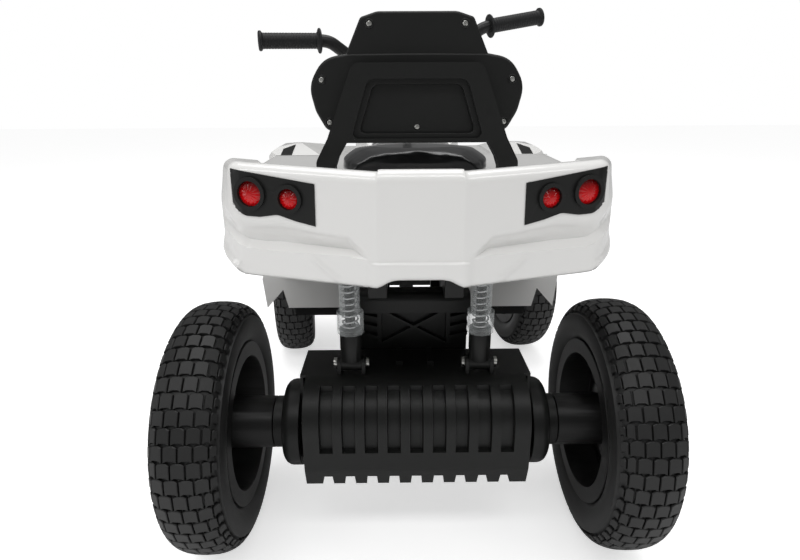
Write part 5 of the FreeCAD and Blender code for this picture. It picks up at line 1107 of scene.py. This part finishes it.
@dataclass
class FenderShade:
    """Dark wedge-shaped sheet on the outer rear of the front fenders, painted shade on the white fender."""

    palette: Palette
    inner: float = 244.0
    outer: float = 267.0
    foot: float = 452.0
    inner_top: float = 516.0
    outer_top: float = 509.0
    lift: float = 1.4
    depth: float = 1.5
    rows: int = 80
    columns: int = 9

    def build(self) -> None:
        """Lays both painted-shade sheets on the CAD fender as one piece."""
        faces = grid_faces(self.columns, self.rows)
        # One thin black sheet for both sides: painted shade on the fenders' rear faces.
        trim = mesh_object("fender_shade", (self._laid(1), faces),
                           (self._laid(-1), [f[::-1] for f in faces]), sharp=50.0)
        thicken(trim, self.depth, 0.0)
        # Black plastic here is painted shade on the white fender's rear face.
        self.palette.dress(trim, "black_plastic")
        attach(trim, "chassis")

    def _laid(self, side: int) -> np.ndarray:
        """Points of one painted-shade sheet on the fender's rear.

        Args:
            side: 1 for the right and -1 for the left.

        Returns:
            The points.
        """
        fender = frame["nodes"]["front_fender"]
        back = fender.matrix_world.inverted()
        ahead = (back.to_3x3() @ Vector((0.0, 1.0, 0.0))).normalized()
        points = []
        for x in np.linspace(self.inner, self.outer, self.columns):
            top = np.interp(x, [self.inner, self.outer], [self.inner_top, self.outer_top])
            for z in np.linspace(self.foot, top, self.rows):
                hit, spot, _, _ = fender.ray_cast(back @ (Vector((side * x, 0.0, z)) * MM), ahead)
                y = (fender.matrix_world @ spot).y / MM if hit else points[-1][1]
                points.append((side * x, y - self.lift, z))
        return np.array(points)


@dataclass
class AxleCover:
    """Slotted rear cover of the axle housing with its comb of teeth, and the two end caps."""

    palette: Palette
    half: float = 150.0
    split: float = REAR_Y - 20.2
    depth: float = 60.0
    low: float = 121.0
    high: float = 260.0
    top_round: float = 59.0
    foot_rise: float = 28.0
    foot_round: float = 24.0
    toe: float = 9.0
    grooves: int = 9
    margin: float = 30.0
    groove_half: float = 8.2
    groove_depth: float = 8.0
    groove_low: float = 176.0
    groove_high: float = 255.0
    tooth_half: float = 6.9
    tooth_height: float = 15.0
    draft: float = 0.6
    sharp: float = 35.0
    cap_start: float = 159.2
    cap_sides: int = 64
    cap: Table = (
        (0.0, 40.0), (0.0, 60.2), (0.8, 61.0), (13.0, 61.0), (17.5, 60.2), (21.5, 57.8), (24.2, 54.2),
        (25.0, 51.0), (25.0, 37.4), (25.8, 36.4), (39.6, 36.4), (39.6, 8.4))

    def build(self) -> None:
        """Makes the cover and the caps in place of the CAD ones."""
        cover = self._cover()
        parts = []
        for side in (-1.0, 1.0):
            at, axis = (side * self.cap_start, REAR_Y, AXLE_Z), np.array([side, 0.0, 0.0])
            parts.append(lathe(self.cap, at, axis, self.cap_sides))
        caps = mesh_object("axle_caps", *parts)
        for piece, node in ((cover, "housing_rear_cover"), (caps, "housing_end_caps")):
            self.palette.dress(piece, "black_plastic")
            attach(piece, "swing")
            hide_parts(node)

    def _rear(self, z: np.ndarray) -> np.ndarray:
        """Rear face of the cover at some heights.

        Args:
            z: Heights.

        Returns:
            Places along Y.
        """
        turn, radius = self.high - self.top_round, self.top_round
        crown = radius - np.sqrt(np.maximum(radius ** 2 - np.maximum(z - turn, 0.0) ** 2, 0.0))
        knee = (self.low + self.foot_rise, 0.0, self.foot_round)
        foot = rounded([(turn, 0.0), knee, (self.low, self.toe)])[::-1]
        return self.split - self.depth + crown + np.interp(z, foot[:, 0], foot[:, 1])

    def _section(self) -> tuple[np.ndarray, np.ndarray]:
        """Section of the cover from its crown to its foot.

        Returns:
            Points as (y, z) and their inward directions.
        """
        turn = self.high - self.top_round
        ends = [z + step for z in (self.groove_low, self.groove_high) for step in (-self.draft, self.draft)]
        z = np.concatenate([turn + self.top_round * np.sin(np.radians(np.linspace(90, 0, 31))),
                            np.linspace(turn, self.low, 40)[1:], ends, [self.low + self.tooth_height]])
        z = np.unique(z)[::-1]
        line = np.column_stack([self._rear(z), z])
        return line, -right_of(tangents(line))

    def _cover(self) -> bpy.types.Object:
        """The cover as one closed mesh.

        Returns:
            The cover.
        """
        line, inward = self._section()
        z, soft = line[:, 1], 2 * self.draft
        pitch = 2 * (self.half - self.margin) / (self.grooves - 1)
        middles = pitch * (np.arange(self.grooves) - (self.grooves - 1) / 2)
        steps = [side * (edge + move) for edge in (self.groove_half, self.tooth_half)
                 for move in (-self.draft, self.draft) for side in (-1, 1)]
        stations = np.unique(np.concatenate([[-self.half, self.half], *(middles + s for s in steps)]))
        share = (np.clip((z - self.groove_low) / soft + 0.5, 0, 1)
                 * np.clip((self.groove_high - z) / soft + 0.5, 0, 1))
        rows = []
        for x in stations:
            off = np.abs(middles - x).min()
            sunk = np.clip((self.groove_half + self.draft - off) / soft, 0, 1)
            spots = line + inward * (self.groove_depth * sunk * share)[:, None]
            floor = self.low + (self.tooth_height if off < self.tooth_half else 0.0)
            spots[spots[:, 1] < floor] = (float(self._rear(np.array([floor]))[0]), floor)
            loop = np.concatenate([[(self.split, self.high)], spots, [(self.split, floor)]])
            rows.append(np.column_stack([np.full(len(loop), x), loop]))
        count = len(rows[0])
        last = (len(rows) - 1) * count
        faces = grid_faces(len(rows), count, wrap=True)
        faces += [tuple(reversed(range(count))), tuple(range(last, last + count))]
        cover = mesh_object("axle_cover", (np.concatenate(rows), faces), sharp=self.sharp)
        clean(cover.data, self.sharp, outward=True)
        return cover


@dataclass
class TailLenses:
    """Domed red lenses with radial flutes."""

    palette: Palette
    places: Table = ((181.0, 527.0, 13.5), (138.0, 523.0, 11.0))
    face: Table = ((45.0, -150.0), (205.0, -104.0))
    dome: float = 4.0
    depth: float = 7.6
    flutes: int = 14
    flute: float = 0.45
    flute_fades: Table = ((0.16, 0.2), (1.0, -0.1))
    around: int = 144
    rings: tuple[float, ...] = (0.02, 0.1, 0.16, 0.2, 0.3, 0.45, 0.6, 0.72, 0.82, 0.9, 0.96, 1.0)

    def build(self) -> None:
        """Makes the four lenses as one piece in place of the CAD lenses."""
        parts, lifts = [], []
        (start, back), (end, ahead) = self.face
        slope = (ahead - back) / (end - start)
        for side in (-1, 1):
            normal = np.array([side * (ahead - back), start - end, 0.0])
            normal /= np.linalg.norm(normal)
            for x, z, radius in self.places:
                at = np.array([side * x, REAR_Y + back + (x - start) * slope, z])
                form, lift = self._lens(at, normal, radius)
                parts.append(form)
                lifts.append(lift)
        lens = mesh_object("tail_lenses", *parts, sharp=60.0)
        # lift holds each point's height in its lens, which drives the lens's painted shade, darker above.
        layer = lens.data.attributes.new("lift", "FLOAT", "POINT")
        layer.data.foreach_set("value", np.concatenate(lifts))
        self.palette.dress(lens, "red_lens")
        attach(lens, "chassis")
        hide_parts("tail_lamp_lenses")

    def _lens(self, at: np.ndarray, normal: np.ndarray, radius: float) -> tuple[Form, np.ndarray]:
        """One lens.

        Args:
            at: Middle of the lens on the lamp's face.
            normal: Outward direction.
            radius: Radius of the lens.

        Returns:
            Points and faces, and the height of each point as a share of the radius.
        """
        across = np.cross(UP, normal)
        angles = np.linspace(0, 2 * math.pi, self.around, endpoint=False)
        spokes = np.outer(np.cos(angles), across) + np.outer(np.sin(angles), UP)
        inner, outer = self.flute_fades
        points, lift = [], []
        for share in self.rings:
            groove = self.flute * fade(share, *inner) * fade(share, *outer)
            height = self.dome * (1 - share ** 2) - groove * (0.5 + 0.5 * np.cos(self.flutes * angles))
            points.append(at + radius * share * spokes + np.outer(height, normal))
            lift.append(share * np.sin(angles))
        points.append(at + radius * spokes - normal * self.depth)
        lift.append(np.sin(angles))
        faces = grid_faces(len(points), self.around, wrap=True) + [tuple(reversed(range(self.around)))]
        return (np.concatenate(points), [f[::-1] for f in faces]), np.concatenate(lift)


@dataclass
class SpringSet:
    """Wire springs of the two dampers."""

    palette: Palette
    x: float = 88.0
    y: float = REAR_Y - 10.0
    low: float = 326.0
    high: float = 404.0
    mean: float = 10.4
    wire: float = 2.6
    coils: float = 10.0
    end_rise: float = 0.045
    turn_points: int = 28
    sides: int = 9
    keep: float = 0.796

    def build(self) -> None:
        """Makes both springs in place of the CAD springs."""
        turns = np.linspace(0, self.coils, int(self.coils * self.turn_points) + 1)
        rise = np.interp(turns, [0, 1, self.coils - 1, self.coils],
                         [0.0, self.end_rise, 1 - self.end_rise, 1.0])
        low, high = self.low + self.wire / 2, self.high - self.wire / 2
        angle = 2 * math.pi * turns
        parts = []
        for side in (-1, 1):
            path = np.column_stack([side * self.x + self.mean * np.cos(angle),
                                    self.y + self.mean * np.sin(angle), low + (high - low) * rise])
            parts.append(tube(path, self.wire / 2, self.sides))
        springs = mesh_object("wire_springs", *parts, sharp=60.0)
        self.palette.dress(springs, "spring_steel")
        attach(springs, "chassis")
        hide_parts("springs")
        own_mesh(springs)


@dataclass
class GripSet:
    """Ribbed rubber grips with flanged ends."""

    palette: Palette
    radius: float = 13.5
    pitch: float = 5.0
    sides: int = 44
    rib: Table = ((0.0, -0.3), (1.2, -0.3), (1.7, 0.0), (4.5, 0.0))
    ribs_from: float = 8.0
    ribs_to: float = 10.0
    inner_end: Table = (
        (0.0, 11.4), (0.0, 20.7), (0.8, 21.5), (2.6, 21.5), (3.6, 20.7), (4.6, 16.0), (7.0, 13.9))
    outer_end: Table = (
        (-7.0, 13.9), (-5.4, 16.2), (-4.4, 17.0), (-1.4, 17.0), (-0.4, 16.2), (0.0, 14.6), (0.0, 4.0),
        (-1.6, 3.2), (-1.6, 0.2))

    def build(self) -> None:
        """Makes both grips in place of the CAD grips."""
        node = frame["nodes"]["grips"]
        spots = np.array([node.matrix_world @ v.co for v in node.data.vertices]) / MM
        parts = []
        for side in (-1, 1):
            some = spots[spots[:, 0] * side > 0]
            middle = (some.max(axis=0) + some.min(axis=0)) / 2
            axis = np.linalg.svd(some - some.mean(axis=0), full_matrices=False)[2][0]
            axis = axis * side * np.sign(axis[0])
            along = (some - middle) @ axis
            radial = some - middle - np.outer(along, axis)
            middle = middle + (radial.max(axis=0) + radial.min(axis=0)) / 2
            start, stop = float(along.min()), float(along.max())
            parts.append(lathe(self._profile(stop - start), middle + axis * start, axis, self.sides))
        grips = mesh_object("ribbed_grips", *parts, sharp=35.0)
        self.palette.dress(grips, "grip_rubber")
        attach(grips, "steering")
        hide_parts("grips")

    def _profile(self, length: float) -> list[tuple[float, float]]:
        """Half section of a grip.

        Args:
            length: Length of the grip.

        Returns:
            Places along the grip and radii.
        """
        line, spot = list(self.inner_end), self.ribs_from
        while spot < length - self.ribs_to:
            line += [(spot + along, self.radius + out) for along, out in self.rib]
            spot += self.pitch
        return line + [(length + along, radius) for along, radius in self.outer_end]


@dataclass
class BackShell:
    """Back of the backrest: plates, screws in their seats and the step in the bracket's recess."""

    palette: Palette
    rear: float = REAR_Y - 22.8
    depth: float = 12.0
    lap: float = 0.9
    joint: float = 671.0
    head_edge: float = 3.0
    wing_edge: float = 3.6
    sides: int = 28
    head: Table = ((85.0, 660.0), (81.0, 671.0), (64.0, 708.5, 6.0), (45.0, 714.5, 24.0))
    wing: Table = (
        (106.0, 585.0, 12.0), (118.5, 607.0, 34.0), (125.6, 636.0, 34.0), (108.0, 665.5, 34.0),
        (78.0, 671.0, 30.0), (20.0, 671.6))
    screws: Table = ((110.0, 642.4), (102.5, 595.0), (54.0, 701.5))
    seat: Table = ((-0.3, 5.6), (0.5, 5.2), (0.7, 4.6), (0.5, 4.0), (-0.2, 3.6))
    screw: Table = ((-0.5, 2.9), (0.7, 2.9), (1.2, 2.3), (1.3, 1.2), (0.5, 0.9), (0.5, 0.02))
    floor: float = REAR_Y - 33.0
    floor_screw: float = 590.0
    step: float = 6.5
    step_foot: float = 0.5
    step_edge: float = 1.2
    step_out: Table = ((76.6, 577.4, 6.0), (56.6, 643.6, 12.0))
    step_in: Table = ((67.0, 583.5, 6.0), (50.0, 637.0, 10.0))

    def build(self) -> None:
        """Makes the back's pieces in place of the CAD shell and screws."""
        spots = [(side * x, self.rear - (0.0 if z > self.joint else self.lap), z)
                 for x, z in self.screws for side in (-1, 1)]
        head = self._plate("headrest_back", self.head, self.rear, self.head_edge)
        wing = self._plate("wing_back", self.wing, self.rear - self.lap, self.wing_edge)
        parts = [lathe(self.seat, at, AFT, self.sides) for at in spots]
        seats = mesh_object("screw_seats", *parts, sharp=60.0)
        for piece in (head, wing, seats):
            self.palette.dress(piece, "black_plastic")
            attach(piece, "chassis")
            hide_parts("backrest_shell")
        step = self._recess_step()
        self.palette.dress(step, "black_plastic")
        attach(step, "chassis")
        spots.append((0.0, self.floor, self.floor_screw))
        parts = [lathe(self.screw, at, AFT, self.sides) for at in spots]
        heads = mesh_object("screw_heads", *parts, sharp=30.0)
        self.palette.dress(heads, "zinc_steel")
        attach(heads, "chassis")
        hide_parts("backrest_screws")

    def _plate(self, name: str, half: Table, rear: float, edge: float) -> bpy.types.Object:
        """A plate with rounded edges.

        Args:
            name: Piece name.
            half: Corners of the +X half of its outline.
            rear: Rear face.
            edge: Radius of its edges.

        Returns:
            The plate.
        """
        line = rounded(both_sides(half), closed=True)
        n = len(line)
        points = np.array([(x, y, z) for y in (rear, self.rear + self.depth) for x, z in line])
        faces = [tuple(range(n)), tuple(reversed(range(n, 2 * n)))]
        faces += [(i, n + i, n + (i + 1) % n, (i + 1) % n) for i in range(n)]
        plate = mesh_object(name, (points, faces))
        round_edges(plate, edge, 4, 60.0)
        return plate

    def _recess_step(self) -> bpy.types.Object:
        """Step round the floor of the bracket's recess.

        Returns:
            The step.
        """
        outer, inner = (rounded(both_sides(half), closed=True) for half in (self.step_out, self.step_in))
        rear = self.floor - self.step
        rings = ((outer, rear), (inner, rear), (inner, self.floor + self.step_foot))
        points = np.array([(x, y, z) for ring, y in rings for x, z in ring])
        step = mesh_object("recess_step", (points, grid_faces(len(rings), len(outer), wrap=True)))
        round_edges(step, self.step_edge, 2, 50.0, harden=False)
        return step


@dataclass
class Cushion:
    """A padded piece, plumped by cloth simulation from its CAD form."""

    palette: Palette
    node: str
    fill: float
    shrink: float
    cap: float
    flat: tuple[int, float]
    seams: Callable[[np.ndarray], np.ndarray]
    voxel: float = 4.5
    pressure: float = 4.0
    frames: int = 20
    swell: float = 2.0

    def build(self) -> None:
        """Makes the cushion in place of its CAD node."""
        source = frame["nodes"][self.node]
        mesh = source.data.copy()
        mesh.transform(source.matrix_world)
        obj = placed(self.node + "_cushion", mesh)
        even = obj.modifiers.new("even", "REMESH")
        even.mode = "VOXEL"
        even.voxel_size = self.voxel * MM
        self._apply(obj)
        box = self._read(obj, "co") / MM
        points = box - self._read(obj, "normal") * self.shrink
        self._write(obj, points)
        points = self._plumped(obj, points)
        points = np.clip(points, box.min(axis=0) - self.swell, box.max(axis=0) + self.swell)
        axis, limit = self.flat
        points[:, axis] = np.maximum(points[:, axis], limit)
        self._write(obj, points + self.seams(points))
        smooth(obj.data, 180.0)
        finer = obj.modifiers.new("round", "SUBSURF")
        finer.levels = 1
        finer.render_levels = 1
        self.palette.dress(obj, "seat_skin")
        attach(obj, "chassis")
        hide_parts(self.node)

    @staticmethod
    def _read(obj: bpy.types.Object, what: str) -> np.ndarray:
        """Values of an object's vertices.

        Args:
            obj: Object that stands at the origin.
            what: Name of the value, such as co or normal.

        Returns:
            Three numbers for each vertex.
        """
        flat = np.empty(3 * len(obj.data.vertices))
        obj.data.vertices.foreach_get(what, flat)
        return flat.reshape(-1, 3)

    @staticmethod
    def _write(obj: bpy.types.Object, points: np.ndarray) -> None:
        """Moves an object's vertices.

        Args:
            obj: Object that stands at the origin.
            points: Their places in millimetres.
        """
        obj.data.vertices.foreach_set("co", (points * MM).ravel())
        obj.data.update()

    @staticmethod
    def _apply(obj: bpy.types.Object) -> None:
        """Puts the result of the modifiers in the object's mesh.

        Args:
            obj: Object whose modifiers are applied.
        """
        graph = bpy.context.evaluated_depsgraph_get()
        mesh = bpy.data.meshes.new_from_object(obj.evaluated_get(graph))
        obj.modifiers.clear()
        old = obj.data
        obj.data = mesh
        bpy.data.meshes.remove(old)

    def _plumped(self, obj: bpy.types.Object, start: np.ndarray) -> np.ndarray:
        """Swells the object with cloth under pressure.

        Args:
            obj: Object to swell.
            start: Its points before.

        Returns:
            Its points after, in millimetres.
        """
        scene = bpy.context.scene
        cloth = obj.modifiers.new("cloth", "CLOTH")
        cloth.settings.use_pressure = True
        cloth.settings.uniform_pressure_force = self.pressure
        cloth.settings.effector_weights.gravity = 0.0
        cloth.point_cache.frame_end = self.frames
        for step in range(1, self.frames + 1):
            scene.frame_set(step)
        self._apply(obj)
        scene.frame_set(1)
        moved = self._read(obj, "co") / MM - start
        far = np.linalg.norm(moved, axis=1)
        share = np.minimum(1.0, self.cap / np.maximum(far, 1e-6))
        return start + moved * share[:, None]


def saddle_seams(points: np.ndarray) -> np.ndarray:
    """Seam round the saddle's side and two channels across its top.

    Args:
        points: Points in millimetres.

    Returns:
        How far each point moves.
    """
    middle, channels = np.array([0.0, REAR_Y + 148.0]), (REAR_Y + 96.0, REAR_Y + 176.0)
    seam_z, seam_width, seam_depth = 541.0, 2.6, 1.8
    top_z, top_fade, channel_width, channel_depth = 540.0, 8.0, 4.5, 3.0
    move = np.zeros_like(points)
    out = points[:, :2] - middle
    out /= np.maximum(np.linalg.norm(out, axis=1), 1e-6)[:, None]
    move[:, :2] -= seam_depth * bell(points[:, 2] - seam_z, seam_width)[:, None] * out
    over = fade(points[:, 2], top_z, top_fade)
    for y in channels:
        move[:, 2] -= channel_depth * over * bell(points[:, 1] - y, channel_width)
    return move


def pad_seams(points: np.ndarray) -> np.ndarray:
    """Channels down and across the backrest pad's front.

    Args:
        points: Points in millimetres.

    Returns:
        How far each point moves.
    """
    off, upright_top, level_z, front_y = 52.0, 668.0, 671.0, REAR_Y + 8.0
    width, depth, soft = 4.5, 3.5, 8.0
    move = np.zeros_like(points)
    upright = bell(np.abs(points[:, 0]) - off, width) * fade(points[:, 2], upright_top, -soft)
    level = bell(points[:, 2] - level_z, width)
    move[:, 1] -= depth * fade(points[:, 1], front_y, soft) * np.maximum(upright, level)
    return move


def main() -> None:
    """Builds the scene in order."""
    logging.basicConfig(level=logging.INFO, format="%(name)s: %(message)s")
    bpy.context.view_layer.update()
    palette = Palette()
    Stage().build()
    LOG.info("stage ready")
    CadDress(palette).build()
    LOG.info("CAD pieces dressed")
    TyreSet(palette).build()
    LOG.info("tyres on")
    TailSkin(palette).build()
    # Painted shade on the rear faces of the front fenders.
    FenderShade(palette).build()
    TailLenses(palette).build()
    AxleCover(palette).build()
    LOG.info("tail, lamps and axle cover on")
    SpringSet(palette).build()
    GripSet(palette).build()
    BackShell(palette).build()
    LOG.info("springs, grips and backrest on")
    Cushion(palette, "saddle", fill=0.75, shrink=2.5, cap=7.0, flat=(2, 527.3), seams=saddle_seams).build()
    Cushion(palette, "backrest_pad", fill=0.7, shrink=2.5, cap=6.0, flat=(1, REAR_Y - 10.4),
            seams=pad_seams).build()
    LOG.info("cushions plumped")


if __name__ == "__main__":
    main()
